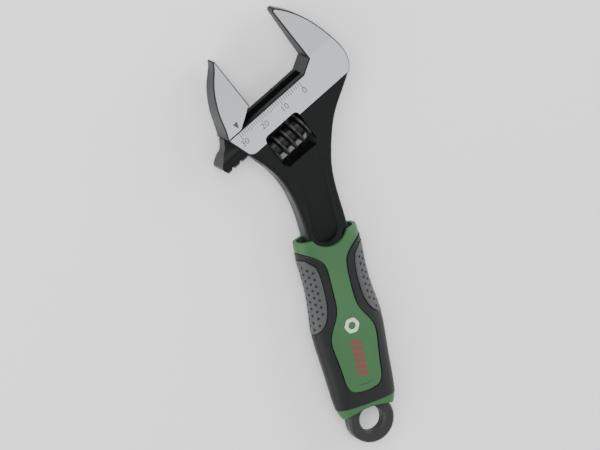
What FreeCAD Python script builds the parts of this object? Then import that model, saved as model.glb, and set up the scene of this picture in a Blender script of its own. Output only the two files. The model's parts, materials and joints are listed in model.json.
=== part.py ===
"""Adjustable wrench with a moulded handle, as a parametric document in millimetres.

Frame: the origin is the centre of the hanging hole on the mid-plane, +X runs along the handle to the head,
+Z points out of the front face, and +Y is the side of the sliding jaw.  The head has a frame of its own:
its x runs along the slide towards the fixed jaw and its y runs out of the head between the jaws.
"""
import FreeCAD
import Part
import Sketcher
import math
import os

from FreeCAD import Placement, Rotation, Vector

SIZES = [
    ("grip_length", 75.3, "hanging hole to the end of the collar"),
    ("neck_length", 42.7, "end of the collar to the middle of the head"),
    ("jaw_angle", 22.5, "angle between the handle and the jaws, degrees"),
    ("head_thickness", 11.0, "ground head, front to back"),
    ("ground_step", 0.15, "ground face above the black forging"),
    ("ground_edge", 5.4, "lower edge of the ground face, head y"),
    ("shank_thickness", 8.0, "shank, front to back"),
    ("shank_width", 16.9, "shank, side to side"),
    ("shank_round", 1.2, "rounding along the shank and the neck"),
    ("tang_thickness", 3.6, "tang inside the handle"),
    ("tang_width", 14.0, "tang, side to side"),
    ("tang_start", 14.0, "hanging hole to the end of the tang"),
    ("barb_depth", 1.4, "depth of the notches that hold the tang in the moulding"),
    ("barb_length", 4.0, "length of a notch"),
    ("shoulder_height", 17.0, "shoulder that the jaw slides on, head y"),
    ("jaw_height", 27.0, "jaw tip above the shoulder"),
    ("fixed_face", 17.74, "contact face of the fixed jaw, head x"),
    ("taper_start", 4.0, "start of the jaw taper above the shoulder"),
    ("jaw_tip_thickness", 5.5, "jaw thickness at the tip"),
    ("jaw_edge", 0.5, "chamfer round the head and the jaws"),
    ("tip_bevel", 0.6, "bevel of a jaw's tip, at its contact face"),
    ("opening", 28.8, "opening between the jaws as drawn"),
    ("worm_length", 15.9, "worm, end to end"),
    ("worm_centre", -6.1, "middle of the worm, head x"),
    ("worm_height", 0.4, "axis of the worm, head y"),
    ("worm_radius", 6.1, "worm over its thread"),
    ("worm_root", 3.7, "worm under its thread"),
    ("thread_pitch", 3.8, "pitch of the worm and of the rack"),
    ("thread_start", 34.0, "place of a thread crest along the slide, from the hanging hole"),
    ("crest_width", 0.85, "flat on the thread crest"),
    ("flank_angle", 15.0, "thread flank, degrees"),
    ("side_play", 0.3, "gap at each end of the worm"),
    ("window_below", 2.2, "gap between the worm and the foot of its window"),
    ("window_above", 1.6, "gap between the worm and the top of its window"),
    ("window_corner", 2.0, "corner radius of the window"),
    ("pin_radius", 1.5, "pin that the worm turns on"),
    ("pin_head", 2.3, "radius of the slotted head of the pin"),
    ("pin_head_length", 1.6, "length of the slotted head"),
    ("pin_wall", 2.7, "wall of the head between the pin's seat and the window"),
    ("pin_reach", 5.5, "length of the pin past the window"),
    ("pin_fit", 0.02, "radial gap between the pin and the head"),
    ("spin_fit", 0.05, "radial gap between the pin and the worm"),
    ("spring_wire", 0.6, "wire of the small spring"),
    ("spring_pocket", 4.0, "depth of the spring's counterbore in the worm"),
    ("rack_radius", 4.5, "round rack bar of the sliding jaw"),
    ("bore_fit", 0.08, "radial gap round the rack bar"),
    ("tooth_depth", 2.1, "depth of a rack tooth"),
    ("crest_gap", 0.5, "gap between the thread crest and the rack's root"),
    ("backlash", 0.35, "play between a thread and a tooth space"),
    ("rack_tail", 22.64, "rack bar's outer end, behind the contact face"),
    ("rack_nose", 6.5, "rack bar's inner end, ahead of the contact face"),
    ("bore_depth", 25.84, "blind end of the rack bore, head x"),
    ("web_thickness", 5.0, "web between the jaw and the rack bar"),
    ("web_fit", 0.1, "gap on each side of the web"),
    ("rack_end_fall", 7.6, "how far the rack's outer end leans in, up to the shoulder"),
    ("web_nose", 5.8, "inner end of the web, behind the contact face"),
    ("slot_end", 12.64, "closed end of the web's slot, head x"),
    ("slide_fit", 0.1, "gap between the sliding jaw and the shoulder"),
    ("relief_width", 5.4, "corner relief at the fixed jaw, along the shoulder"),
    ("relief_height", 3.4, "corner relief at the fixed jaw, up the face"),
    ("jaw_cut_width", 7.2, "slanted cut under the sliding jaw's face"),
    ("jaw_cut_height", 5.2, "height of the slanted cut"),
    ("recess_start", 1.5, "collar to the middle of the recess's round end"),
    ("recess_round", 5.1, "radius of the recess's round end, at its floor"),
    ("recess_floor", 2.0, "recess floor in the shank, above the mid-plane"),
    ("recess_rise", 5.1, "slope of the recess floor, degrees"),
    ("recess_draft", 25.0, "draft of the recess sides, degrees"),
    ("hole_radius", 4.9, "hanging hole"),
    ("loop_radius", 9.2, "outside of the hanging loop"),
    ("loop_thickness", 5.5, "hanging loop, front to back"),
    ("loop_bevel", 0.7, "bevel round the loop and its hole"),
    ("liner_thickness", 4.8, "inner moulding round the tang"),
    ("liner_width", 18.0, "inner moulding, side to side"),
    ("liner_stop", 9.3, "end of the inner moulding to the end of the collar"),
    ("band_start", 2.7, "start of the end band at its sides"),
    ("band_middle", 5.3, "start of the end band at its middle"),
    ("band_end", 7.0, "end of the end band"),
    ("skin", 1.7, "thickness of the soft overmould"),
    ("skin_side", 2.0, "thickness of the soft overmould at the sides"),
    ("panel_sink", 0.25, "green panel below the soft skin"),
    ("groove", 0.55, "groove round the green panels"),
    ("pad_groove", 0.45, "groove round the side pads"),
    ("pad_depth", 1.1, "thickness of a side pad"),
    ("pad_rise", 0.2, "side pad above the soft skin"),
    ("collar_wall", 1.3, "wall of the open collar"),
    ("mouth_depth", 5.0, "depth of the collar's mouth"),
    ("shank_fit", 0.05, "gap round the shank in the collar's mouth"),
    ("collar_scoop", 4.3, "depth of the scoop across the collar"),
    ("scoop_width", 14.5, "width of the scoop where it meets the collar's end"),
]

# Handle sections: place as a share of the grip, half width, half thickness.
GRIP_SECTIONS = [
    (0.026, 9.7, 4.1),
    (0.075, 11.9, 4.6),
    (0.12, 12.5, 4.9),
    (0.28, 13.3, 5.5),
    (0.40, 14.0, 5.8),
    (0.52, 14.3, 5.8),
    (0.64, 13.3, 5.3),
    (0.76, 12.75, 5.1),
    (0.88, 13.1, 5.7),
    (0.94, 13.25, 6.2),
    (1.02, 12.6, 6.6),
]
ROUNDNESS = 2.5
SECTION_POINTS = 16
FAR = 60.0

doc = FreeCAD.newDocument("adjustable_wrench")
sheet = doc.addObject("Spreadsheet::Sheet", "Sizes")


def fill_sheet():
    for row, (alias, value, note) in enumerate(SIZES, start=1):
        sheet.set("A%d" % row, alias)
        sheet.set("B%d" % row, str(value))
        sheet.set("C%d" % row, note)
        sheet.setAlias("B%d" % row, alias)
    doc.recompute()


fill_sheet()
size = {alias: float(sheet.get(alias)) for alias, value, note in SIZES}

# Values worked out from the sheet.
HEAD_X = size["grip_length"] + size["neck_length"]
HEAD_TURN = size["jaw_angle"] - 90.0
HALF_HEAD = size["head_thickness"] / 2
SHOULDER = size["shoulder_height"]
JAW_TIP = SHOULDER + size["jaw_height"]
WORM_Y = size["worm_height"]
WORM_LEFT = size["worm_centre"] - size["worm_length"] / 2
WORM_RIGHT = size["worm_centre"] + size["worm_length"] / 2
WINDOW_LEFT = WORM_LEFT - size["side_play"]
WINDOW_RIGHT = WORM_RIGHT + size["side_play"]
WINDOW_FOOT = WORM_Y - size["worm_radius"] - size["window_below"]
RACK_ROOT = WORM_Y + size["worm_radius"] + size["crest_gap"]
RACK_Y = RACK_ROOT + size["rack_radius"] - size["tooth_depth"]
JAW_FACE = size["fixed_face"] - size["opening"]
SPRING_MIDDLE = size["pin_radius"] + 0.2 + size["spring_wire"] / 2
# A crest faces the rack here, in the head's x.
CREST_X = size["thread_start"] - HEAD_X * math.cos(math.radians(90.0 - size["jaw_angle"]))
GRIP = size["grip_length"]


def in_head(x, y, z=0.0):
    """A point of the handle's frame, given in the head's frame."""
    turn = Rotation(Vector(0, 0, 1), -HEAD_TURN)
    return turn.multVec(Vector(x - HEAD_X, y, z))


def handle_from_head(x, y):
    """A point of the head's frame, given in the handle's frame."""
    turned = Rotation(Vector(0, 0, 1), HEAD_TURN).multVec(Vector(x, y, 0))
    return (turned.x + HEAD_X, turned.y)


def place_in_head(item):
    item.Placement = Placement(Vector(HEAD_X, 0, 0), Rotation(Vector(0, 0, 1), HEAD_TURN))
    item.setExpression("Placement.Base.x", "Sizes.grip_length + Sizes.neck_length")


def origin_plane(body, role):
    return next(item for item in body.Origin.OriginFeatures if item.Role == role)


def new_body(name, in_head_frame=True):
    body = doc.addObject("PartDesign::Body", name)
    body.Label = name
    if in_head_frame:
        place_in_head(body)
    return body


def new_sketch(body, name, role, base=Vector(), turn=Rotation()):
    sketch = body.newObject("Sketcher::SketchObject", name)
    sketch.AttachmentSupport = [(origin_plane(body, role), "")]
    sketch.MapMode = "FlatFace"
    sketch.AttachmentOffset = Placement(base, turn)
    return sketch


def line(start, end):
    return Part.LineSegment(Vector(*start), Vector(*end))


def arc(start, middle, end):
    return Part.Arc(Vector(*start), Vector(*middle), Vector(*end))


def curve(points):
    spline = Part.BSplineCurve()
    spline.interpolate([Vector(*point) for point in points])
    return spline


def polygon(points):
    corners = list(points) + [points[0]]
    return [line(corners[i] + (0,), corners[i + 1] + (0,)) for i in range(len(points))]


def add_shapes(sketch, shapes):
    for shape in shapes:
        sketch.addGeometry(shape, False)
    return sketch


def pad(body, name, sketch, length, both_ways=True):
    feature = body.newObject("PartDesign::Pad", name)
    feature.Profile = sketch
    feature.SideType = "Symmetric" if both_ways else "One side"
    feature.setExpression("Length", length)
    return feature


def cut(body, name, sketch, through=True, both_ways=True, length=None, reverse=False):
    before = body_volume(body)
    feature = body.newObject("PartDesign::Pocket", name)
    feature.Profile = sketch
    feature.SideType = "Symmetric" if both_ways else "One side"
    feature.Reversed = reverse
    if through:
        feature.Type = "ThroughAll"
    else:
        feature.Type = "Length"
        feature.setExpression("Length", length)
    doc.recompute()
    if not body_volume(body) < before - 1e-6:
        raise RuntimeError("%s removes nothing" % name)
    return feature


def body_volume(body):
    doc.recompute()
    return body.Shape.Volume


def mirror_through_middle(body, feature, name):
    mirrored = body.newObject("PartDesign::Mirrored", name)
    mirrored.Originals = [feature]
    mirrored.MirrorPlane = (origin_plane(body, "XY_Plane"), [""])
    body.Tip = mirrored
    doc.recompute()
    return mirrored


def rack_bar_sketch(body, place):
    """The round bar's section, square to the slide, with its radius, height and place bound to the sheet."""
    sketch = new_sketch(body, "rack_bar_section", "YZ_Plane")
    sketch.setExpression("AttachmentOffset.Base.z", place)
    sketch.addGeometry(Part.Circle(Vector(RACK_Y, 0, 0), Vector(0, 0, 1), 1.0), False)
    sketch.addConstraint(Sketcher.Constraint("Radius", 0, 1.0))
    sketch.setExpression("Constraints[0]", "Sizes.rack_radius * 1 mm")
    sketch.addConstraint(Sketcher.Constraint("DistanceX", -1, 1, 0, 3, 1.0))
    sketch.setExpression("Constraints[1]", "(%s) * 1 mm" % RACK_Y_TEXT)
    sketch.addConstraint(Sketcher.Constraint("DistanceY", -1, 1, 0, 3, 0.0))
    return sketch


RECESS_X = GRIP + size["recess_start"]
PIN_END_TEXT = "Sizes.worm_centre + Sizes.worm_length / 2 + Sizes.side_play + Sizes.pin_reach"
PIN_SEAT_TEXT = "Sizes.worm_centre - Sizes.worm_length / 2 - Sizes.side_play - Sizes.pin_wall"
WINDOW_LEFT_TEXT = "Sizes.worm_centre - Sizes.worm_length / 2 - Sizes.side_play"
WINDOW_RIGHT_TEXT = "Sizes.worm_centre + Sizes.worm_length / 2 + Sizes.side_play"
WINDOW_FOOT_TEXT = "Sizes.worm_height - Sizes.worm_radius - Sizes.window_below"
WINDOW_TOP_TEXT = "Sizes.worm_height + Sizes.worm_radius + Sizes.window_above"
RACK_Y_TEXT = ("Sizes.worm_height + Sizes.worm_radius + Sizes.crest_gap + Sizes.rack_radius"
               " - Sizes.tooth_depth")


def taper_cut(body, name):
    """Both flats of a jaw fall towards its tip, from the taper's start upwards."""
    fall = (size["head_thickness"] - size["jaw_tip_thickness"]) / 2
    slope = fall / (size["jaw_height"] - size["taper_start"])
    base = Vector(0, SHOULDER + size["taper_start"], HALF_HEAD)
    lean = Rotation(Vector(0, 0, 1), Vector(0, slope, 1))
    sketch = new_sketch(body, name + "_sketch", "XY_Plane", base, lean)
    add_shapes(sketch, polygon([(-FAR, -SHOULDER), (FAR, -SHOULDER), (FAR, FAR), (-FAR, FAR)]))
    feature = cut(body, name, sketch, both_ways=False, reverse=True)
    mirror_through_middle(body, feature, name + "_back")


def head_outline():
    """Plan outline of the ground head and the fixed jaw, in the head's frame."""
    face = size["fixed_face"]
    edge = size["ground_edge"]
    bevel = size["tip_bevel"]
    relief = SHOULDER + size["relief_height"]
    flank = [(27.2, edge), (30.0, 9.6), (30.7, 14.5), (29.9, 21.0), (28.2, 28.0), (25.8, 34.4), (22.7, 39.8)]
    tip = (face + 1.0 + bevel, JAW_TIP, 0)
    corner = (-25.8, SHOULDER, 0)
    heel = (-22.8, edge + 2.4, 0)
    foot = (-19.5, edge, 0)
    return [
        curve([(x, y, 0) for x, y in flank] + [tip]),
        line(tip, (face + bevel, JAW_TIP, 0)),
        line((face + bevel, JAW_TIP, 0), (face, JAW_TIP - bevel, 0)),
        line((face, JAW_TIP - bevel, 0), (face, relief, 0)),
        line((face, relief, 0), (face - size["relief_width"], SHOULDER, 0)),
        line((face - size["relief_width"], SHOULDER, 0), corner),
        line(corner, heel),
        arc(heel, (-21.5, edge + 0.7, 0), foot),
        line(foot, flank[0] + (0,)),
    ]


def neck_outline():
    """Plan outline of the neck and the shank, x along the handle; it ends inside the head."""
    half = size["shank_width"] / 2
    start = GRIP - size["mouth_depth"]
    right = [(-34.0, 0.1 - half), (-26.0, 0.5 - half), (-17.0, 0.15 - half), (-8.0, -1.7 - half),
             (2.0, -14.0), (9.0, -18.6), (15.3, -22.9)]
    left = [(-1.6, 23.9), (-4.9, 21.3), (-8.2, 18.45), (-13.3, 14.85), (-18.4, half + 3.75),
            (-25.5, half + 1.55), (-33.5, half + 0.3)]
    right_side = [(start, -half, 0)] + [(HEAD_X + x, y, 0) for x, y in right]
    left_side = [(HEAD_X + x, y, 0) for x, y in left] + [(start, half, 0)]
    inside_right = (HEAD_X + 15.5, -17.0, 0)
    inside_left = (HEAD_X + 3.0, 20.0, 0)
    return [
        line(left_side[-1], right_side[0]),
        curve(right_side),
        line(right_side[-1], inside_right),
        line(inside_right, inside_left),
        line(inside_left, left_side[0]),
        curve(left_side),
    ]


def neck_profile():
    """Side view of what is forged away above the neck and the shank, x along the handle."""
    shank = size["shank_thickness"] / 2
    full = HALF_HEAD - size["ground_step"]
    low = HEAD_X - 27.0
    high = HEAD_X - 1.0
    middle = (low + high) / 2
    slope = Part.BSplineCurve()
    poles = [Vector(x, y, 0) for x, y in ((low, shank), (middle, shank), (middle, full), (high, full))]
    slope.buildFromPolesMultsKnots(poles, [4, 4], [0.0, 1.0], False, 3)
    start = GRIP - FAR
    return [
        line((start, shank, 0), (low, shank, 0)),
        slope,
        line((high, full, 0), (high + FAR, full, 0)),
        line((high + FAR, full, 0), (high + FAR, FAR, 0)),
        line((high + FAR, FAR, 0), (start, FAR, 0)),
        line((start, FAR, 0), (start, shank, 0)),
    ]


def tang_outline():
    """The tang with three barbed notches along each side."""
    half = size["tang_width"] / 2
    depth = size["barb_depth"]
    reach = size["barb_length"] / 2
    start = size["tang_start"]
    end = GRIP - size["mouth_depth"] + 1.0
    bay = (end - start) / 4
    side = [(start, half - 1.5), (start + 1.5, half)]
    for number in range(1, 4):
        middle = start + number * bay
        side += [(middle - reach, half), (middle - reach + depth, half - depth)]
        side += [(middle + reach, half - depth), (middle + reach, half)]
    side.append((end, half))
    return side + [(x, -y) for x, y in reversed(side)]


def flat_edges(shape, wanted):
    """Names of the edges between a side wall and a front or back flat that wanted(middle) accepts."""
    names = []
    for number, edge in enumerate(shape.Edges, start=1):
        faces = shape.ancestorsOfType(edge, Part.Face)
        middle = edge.valueAt((edge.FirstParameter + edge.LastParameter) / 2)
        tilts = []
        for face in faces:
            u, v = face.Surface.parameter(middle)
            tilts.append(abs(face.normalAt(u, v).z))
        if max(tilts) > 0.7 and min(tilts) < 0.2 and wanted(middle):
            names.append("Edge%d" % number)
    return names


def dress_edges(body, kind, name, field, value, wanted):
    base = body.Tip
    feature = body.newObject(kind, name)
    feature.Base = (base, flat_edges(base.Shape, wanted))
    feature.setExpression(field, value)
    body.Tip = feature
    doc.recompute()
    if feature.Shape.isNull() or not feature.Shape.isValid():
        raise RuntimeError("%s failed" % name)
    return feature


def recess_outline():
    """Floor of the neck's recess, x along the handle from its round end's middle."""
    radius = size["recess_round"]
    far_right = handle_from_head(WINDOW_RIGHT - 0.5, WINDOW_FOOT + 1.0)
    far_left = handle_from_head(WINDOW_LEFT + 0.5, WINDOW_FOOT + 1.0)
    right = (far_right[0] - RECESS_X, far_right[1])
    left = (far_left[0] - RECESS_X, far_left[1])
    bend = (18.0, radius + 0.2)
    return [
        arc((0, radius, 0), (-radius, 0, 0), (0, -radius, 0)),
        line((0, -radius, 0), (right[0] - 6.0, 0.6 - radius, 0)),
        line((right[0] - 6.0, 0.6 - radius, 0), right + (0,)),
        line(right + (0,), left + (0,)),
        line(left + (0,), bend + (0,)),
        line(bend + (0,), (0, radius, 0)),
    ]


def make_head_forging():
    body = new_body("head_forging", False)
    outline = add_shapes(new_sketch(body, "head_outline", "XY_Plane"), head_outline())
    pad(body, "head_plate", outline, "Sizes.head_thickness * 1 mm")
    doc.recompute()
    taper_cut(body, "fixed_jaw_taper")
    edge = size["ground_edge"]
    dress_edges(body, "PartDesign::Chamfer", "head_chamfer", "Size", "Sizes.jaw_edge * 1 mm",
                lambda middle: middle.y > edge + 0.1 and not (middle.y < edge + 2.0 and middle.x < 0))
    return body


def make_neck_forging():
    """Neck, shank and tang, drawn along the handle."""
    body = new_body("neck_forging", False)
    outline = add_shapes(new_sketch(body, "neck_outline", "XY_Plane"), neck_outline())
    pad(body, "neck_plate", outline, "Sizes.head_thickness * 1 mm")
    side = add_shapes(new_sketch(body, "neck_profile", "XZ_Plane"), neck_profile())
    thin = cut(body, "neck_thinning", side)
    mirror_through_middle(body, thin, "neck_thinning_back")
    dress_edges(body, "PartDesign::Fillet", "neck_rounding", "Radius", "Sizes.shank_round * 1 mm",
                lambda middle: abs(middle.y) > size["shank_width"] / 2 - 1.5
                and not (middle.y > 0 and middle.x > HEAD_X - 1.5) and middle.x < HEAD_X + 12.0)

    tilt = Rotation(Vector(0, 1, 0), -size["recess_rise"])
    recess = new_sketch(body, "neck_recess", "XY_Plane", Vector(RECESS_X, 0, size["recess_floor"]), tilt)
    add_shapes(recess, recess_outline())
    hollow = cut(body, "neck_recess_cut", recess, both_ways=False, reverse=True)
    hollow.setExpression("TaperAngle", "Sizes.recess_draft")
    mirror_through_middle(body, hollow, "neck_recess_back")

    tang = add_shapes(new_sketch(body, "tang_outline", "XY_Plane"), polygon(tang_outline()))
    pad(body, "tang", tang, "Sizes.tang_thickness * 1 mm")
    doc.recompute()
    return body


def cylinder_along_slide(name, radius, start, end, height):
    """A cylinder along the head's x, with its size and place bound to the sheet."""
    item = doc.addObject("Part::Cylinder", name)
    item.Placement = Placement(Vector(), Rotation(Vector(0, 1, 0), 90))
    item.setExpression("Radius", "(%s) * 1 mm" % radius)
    item.setExpression("Height", "((%s) - (%s)) * 1 mm" % (end, start))
    item.setExpression("Placement.Base.x", start)
    item.setExpression("Placement.Base.y", height)
    return item


def box(name, low, high):
    """A box between two corners, each given as three expressions."""
    item = doc.addObject("Part::Box", name)
    for field, axis, first, last in zip(("Length", "Width", "Height"), "xyz", low, high):
        item.setExpression(field, "((%s) - (%s)) * 1 mm" % (last, first))
        item.setExpression("Placement.Base." + axis, first)
    return item


def make_wrench_body():
    head = make_head_forging()
    neck = make_neck_forging()
    start = in_head(0, 0)
    neck.Placement = Placement(start, Rotation(Vector(0, 0, 1), -HEAD_TURN))
    forging = doc.addObject("Part::MultiFuse", "forging")
    forging.Shapes = [head, neck]
    doc.recompute()

    half = "Sizes.head_thickness / 2 + 1"
    block = box("worm_window_block", (WINDOW_LEFT_TEXT, WINDOW_FOOT_TEXT, "-(%s)" % half),
                (WINDOW_RIGHT_TEXT, WINDOW_TOP_TEXT, half))
    doc.recompute()
    window = doc.addObject("Part::Fillet", "worm_window")
    window.Base = block
    upright = [number for number, edge in enumerate(block.Shape.Edges, start=1)
               if abs(edge.tangentAt(edge.FirstParameter).z) > 0.9]
    window.Edges = [(number, size["window_corner"], size["window_corner"]) for number in upright]
    bore = cylinder_along_slide("rack_bore", "Sizes.rack_radius + Sizes.bore_fit", "-%g" % FAR,
                                "Sizes.bore_depth", RACK_Y_TEXT)
    gap = "Sizes.web_thickness / 2 + Sizes.web_fit"
    slot = box("web_slot", ("-%g" % FAR, RACK_Y_TEXT, "-(%s)" % gap), ("Sizes.slot_end", "%g" % FAR, gap))
    pin_way = cylinder_along_slide("pin_hole", "Sizes.pin_radius + Sizes.pin_fit", "-%g" % FAR,
                                   PIN_END_TEXT, "Sizes.worm_height")
    seat = cylinder_along_slide("pin_seat", "Sizes.pin_head + Sizes.pin_fit", "-%g" % FAR,
                                PIN_SEAT_TEXT, "Sizes.worm_height")
    tools = doc.addObject("Part::MultiFuse", "head_openings")
    tools.Shapes = [window, bore, slot, pin_way, seat]
    body = doc.addObject("Part::Cut", "wrench_body")
    body.Base = forging
    body.Tool = tools
    body.Label = "wrench_body"
    place_in_head(body)
    doc.recompute()
    return body


def jaw_outline():
    """Plan outline of the sliding jaw, in the head's frame."""
    face = JAW_FACE
    foot = SHOULDER + size["slide_fit"]
    bevel = size["tip_bevel"]
    flank = [(-14.6, 0.0), (-12.8, 5.2), (-11.5, 9.9), (-9.6, 14.3), (-7.2, 18.6), (-4.0, 22.6), (-1.6, 25.6)]
    cut_top = SHOULDER + size["jaw_cut_height"]
    tip = (face - 1.0, JAW_TIP, 0)
    return [
        line((face, cut_top, 0), (face, JAW_TIP - bevel, 0)),
        line((face, JAW_TIP - bevel, 0), (face - 0.4, JAW_TIP, 0)),
        line((face - 0.4, JAW_TIP, 0), tip),
        curve([tip] + [(face + x, foot + y, 0) for x, y in reversed(flank)]),
        line((face + flank[0][0], foot, 0), (face - size["jaw_cut_width"], foot, 0)),
        line((face - size["jaw_cut_width"], foot, 0), (face, cut_top, 0)),
    ]


def web_outline():
    """The web from the jaw's foot down to the bar's axis, out to the bar's end."""
    nose = JAW_FACE - size["web_nose"]
    tail = JAW_FACE - size["rack_tail"]
    root = JAW_FACE - size["jaw_cut_width"] - 0.4
    foot = SHOULDER + size["slide_fit"]
    return [(nose, RACK_Y), (nose, SHOULDER - 1.5), (root, foot + 0.4), (root - 0.5, foot + 1.4),
            (JAW_FACE - 14.0, foot + 1.4), (JAW_FACE - 14.6, foot), (tail, foot), (tail, RACK_Y)]


def rack_end_outline():
    """What is trimmed off the outer end of the bar and its web: a bow that leans in towards the jaw."""
    tail = JAW_FACE - size["rack_tail"]
    foot = SHOULDER + size["slide_fit"]
    fall = size["rack_end_fall"]
    radius = size["rack_radius"]
    above = [(1.0, 1.0), (0.83, 0.74), (0.70, 0.57), (0.51, 0.455), (0.316, 0.30), (0.118, 0.13), (0.013, 0)]
    below = [(0.079, -0.49), (0.184, -0.89), (0.28, -1.2)]
    bow = [(tail + lean * fall, RACK_Y + rise * (foot - RACK_Y), 0) for lean, rise in above]
    bow += [(tail + lean * fall, RACK_Y + drop * radius, 0) for lean, drop in below]
    outside = tail - size["rack_end_fall"]
    low_corner = (outside, bow[-1][1], 0)
    high_corner = (outside, foot + 1.0, 0)
    return [curve(bow), line(bow[-1], low_corner), line(low_corner, high_corner), line(high_corner, bow[0])]


def tooth_space():
    """Section of one space of the rack, with the thread's flanks and the backlash."""
    crest = WORM_Y + size["worm_radius"]
    slope = math.tan(math.radians(size["flank_angle"]))
    mouth = RACK_Y - size["rack_radius"] - 1.0
    widths = [size["crest_width"] + size["backlash"] + 2 * slope * (crest - y) for y in (RACK_ROOT, mouth)]
    root, open_end = [width / 2 for width in widths]
    return [(-open_end, mouth), (open_end, mouth), (root, RACK_ROOT), (-root, RACK_ROOT)]


def make_sliding_jaw():
    body = new_body("sliding_jaw")
    outline = add_shapes(new_sketch(body, "jaw_outline", "XY_Plane"), jaw_outline())
    pad(body, "jaw_plate", outline, "Sizes.head_thickness * 1 mm")
    doc.recompute()
    taper_cut(body, "sliding_jaw_taper")
    dress_edges(body, "PartDesign::Chamfer", "jaw_chamfer", "Size", "Sizes.jaw_edge * 1 mm",
                lambda middle: middle.y > SHOULDER + 0.5)

    web = add_shapes(new_sketch(body, "web_outline", "XY_Plane"), polygon(web_outline()))
    pad(body, "web", web, "Sizes.web_thickness * 1 mm")
    tail = "(Sizes.fixed_face - Sizes.opening - Sizes.rack_tail) * 1 mm"
    bar = rack_bar_sketch(body, tail)
    pad(body, "rack_bar", bar, "(Sizes.rack_tail + Sizes.rack_nose) * 1 mm", both_ways=False)
    doc.recompute()

    pitch = size["thread_pitch"]
    end_land = 1.6
    first = JAW_FACE - size["rack_tail"] - 1.0
    last = JAW_FACE + size["rack_nose"] - end_land
    lowest = math.ceil((first - CREST_X) / pitch)
    highest = math.floor((last - CREST_X) / pitch)
    lead = math.degrees(math.atan(pitch / (2 * math.pi * size["worm_radius"] * 0.92)))
    place = Vector(CREST_X + lowest * pitch, 0, 0)
    section = new_sketch(body, "tooth_space", "XY_Plane", place, Rotation(Vector(0, 1, 0), lead))
    space = cut(body, "tooth_space_cut", add_shapes(section, polygon(tooth_space())))
    teeth = body.newObject("PartDesign::LinearPattern", "rack_teeth")
    teeth.Originals = [space]
    teeth.Direction = (origin_plane(body, "X_Axis"), [""])
    teeth.Mode = "Spacing"
    teeth.setExpression("Offset", "Sizes.thread_pitch * 1 mm")
    teeth.Occurrences = highest - lowest + 1
    body.Tip = teeth
    doc.recompute()
    end = add_shapes(new_sketch(body, "rack_end_outline", "XY_Plane"), rack_end_outline())
    cut(body, "rack_end_cut", end)
    return body


def make_worm():
    body = new_body("worm")
    place = Placement(Vector(HEAD_X, 0, 0), Rotation(Vector(0, 0, 1), HEAD_TURN))
    body.setExpression("Placement.Base.x", None)
    body.Placement = place.multiply(Placement(Vector(size["worm_centre"], WORM_Y, 0), Rotation()))
    half = size["worm_length"] / 2
    core = new_sketch(body, "worm_section", "YZ_Plane", Vector(0, 0, 0))
    core.addGeometry(Part.Circle(Vector(0, 0, 0), Vector(0, 0, 1), size["worm_root"]), False)
    core.addConstraint(Sketcher.Constraint("Coincident", 0, 3, -1, 1))
    core.addConstraint(Sketcher.Constraint("Radius", 0, size["worm_root"]))
    core.setExpression("Constraints[1]", "Sizes.worm_root * 1 mm")
    pad(body, "worm_core", core, "Sizes.worm_length * 1 mm")
    doc.recompute()

    pitch = size["thread_pitch"]
    crest = size["worm_radius"]
    low = size["worm_root"] - 0.3
    slope = math.tan(math.radians(size["flank_angle"]))
    top = size["crest_width"] / 2
    foot = top + slope * (crest - low)
    phase = CREST_X - size["worm_centre"]
    turns = math.ceil((half + phase) / pitch) + 1
    start = phase - turns * pitch
    section = new_sketch(body, "thread_section", "XY_Plane", Vector(start, 0, 0))
    add_shapes(section, polygon([(-foot, low), (foot, low), (top, crest), (-top, crest)]))
    thread = body.newObject("PartDesign::AdditiveHelix", "thread")
    thread.Profile = section
    thread.ReferenceAxis = (origin_plane(body, "X_Axis"), [""])
    thread.Mode = "pitch-height-angle"
    thread.setExpression("Pitch", "Sizes.thread_pitch * 1 mm")
    thread.Height = half - start + pitch
    doc.recompute()

    for name, side in (("far_end", 1), ("near_end", -1)):
        end = new_sketch(body, name, "YZ_Plane", Vector(0, 0, side * half))
        end.addGeometry(Part.Circle(Vector(0, 0, 0), Vector(0, 0, 1), 2 * crest), False)
        cut(body, name + "_cut", end, both_ways=False, reverse=side > 0)

    bore = new_sketch(body, "worm_bore", "YZ_Plane")
    bore.addGeometry(Part.Circle(Vector(0, 0, 0), Vector(0, 0, 1), size["pin_radius"]), False)
    bore.addConstraint(Sketcher.Constraint("Coincident", 0, 3, -1, 1))
    bore.addConstraint(Sketcher.Constraint("Radius", 0, size["pin_radius"]))
    bore.setExpression("Constraints[1]", "(Sizes.pin_radius + Sizes.spin_fit) * 1 mm")
    cut(body, "worm_bore_cut", bore)
    pocket = new_sketch(body, "spring_pocket", "YZ_Plane", Vector(0, 0, -half + size["spring_pocket"]))
    wide = SPRING_MIDDLE + size["spring_wire"]
    pocket.addGeometry(Part.Circle(Vector(0, 0, 0), Vector(0, 0, 1), wide), False)
    cut(body, "spring_pocket_cut", pocket, both_ways=False)
    return body


def make_worm_pin():
    shaft = cylinder_along_slide("pin_shaft", "Sizes.pin_radius", PIN_SEAT_TEXT, PIN_END_TEXT + " - 0.3",
                                 "Sizes.worm_height")
    head = cylinder_along_slide("pin_head", "Sizes.pin_head", PIN_SEAT_TEXT + " - Sizes.pin_head_length",
                                PIN_SEAT_TEXT, "Sizes.worm_height")
    whole = doc.addObject("Part::MultiFuse", "pin_blank")
    whole.Shapes = [shaft, head]
    outside = PIN_SEAT_TEXT + " - Sizes.pin_head_length"
    slot = box("driver_slot", (outside + " - 1", "Sizes.worm_height - 0.35", "-5"),
               (outside + " + 0.8", "Sizes.worm_height + 0.35", "5"))
    pin = doc.addObject("Part::Cut", "worm_pin")
    pin.Base = whole
    pin.Tool = slot
    pin.Label = "worm_pin"
    place_in_head(pin)
    return pin


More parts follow.
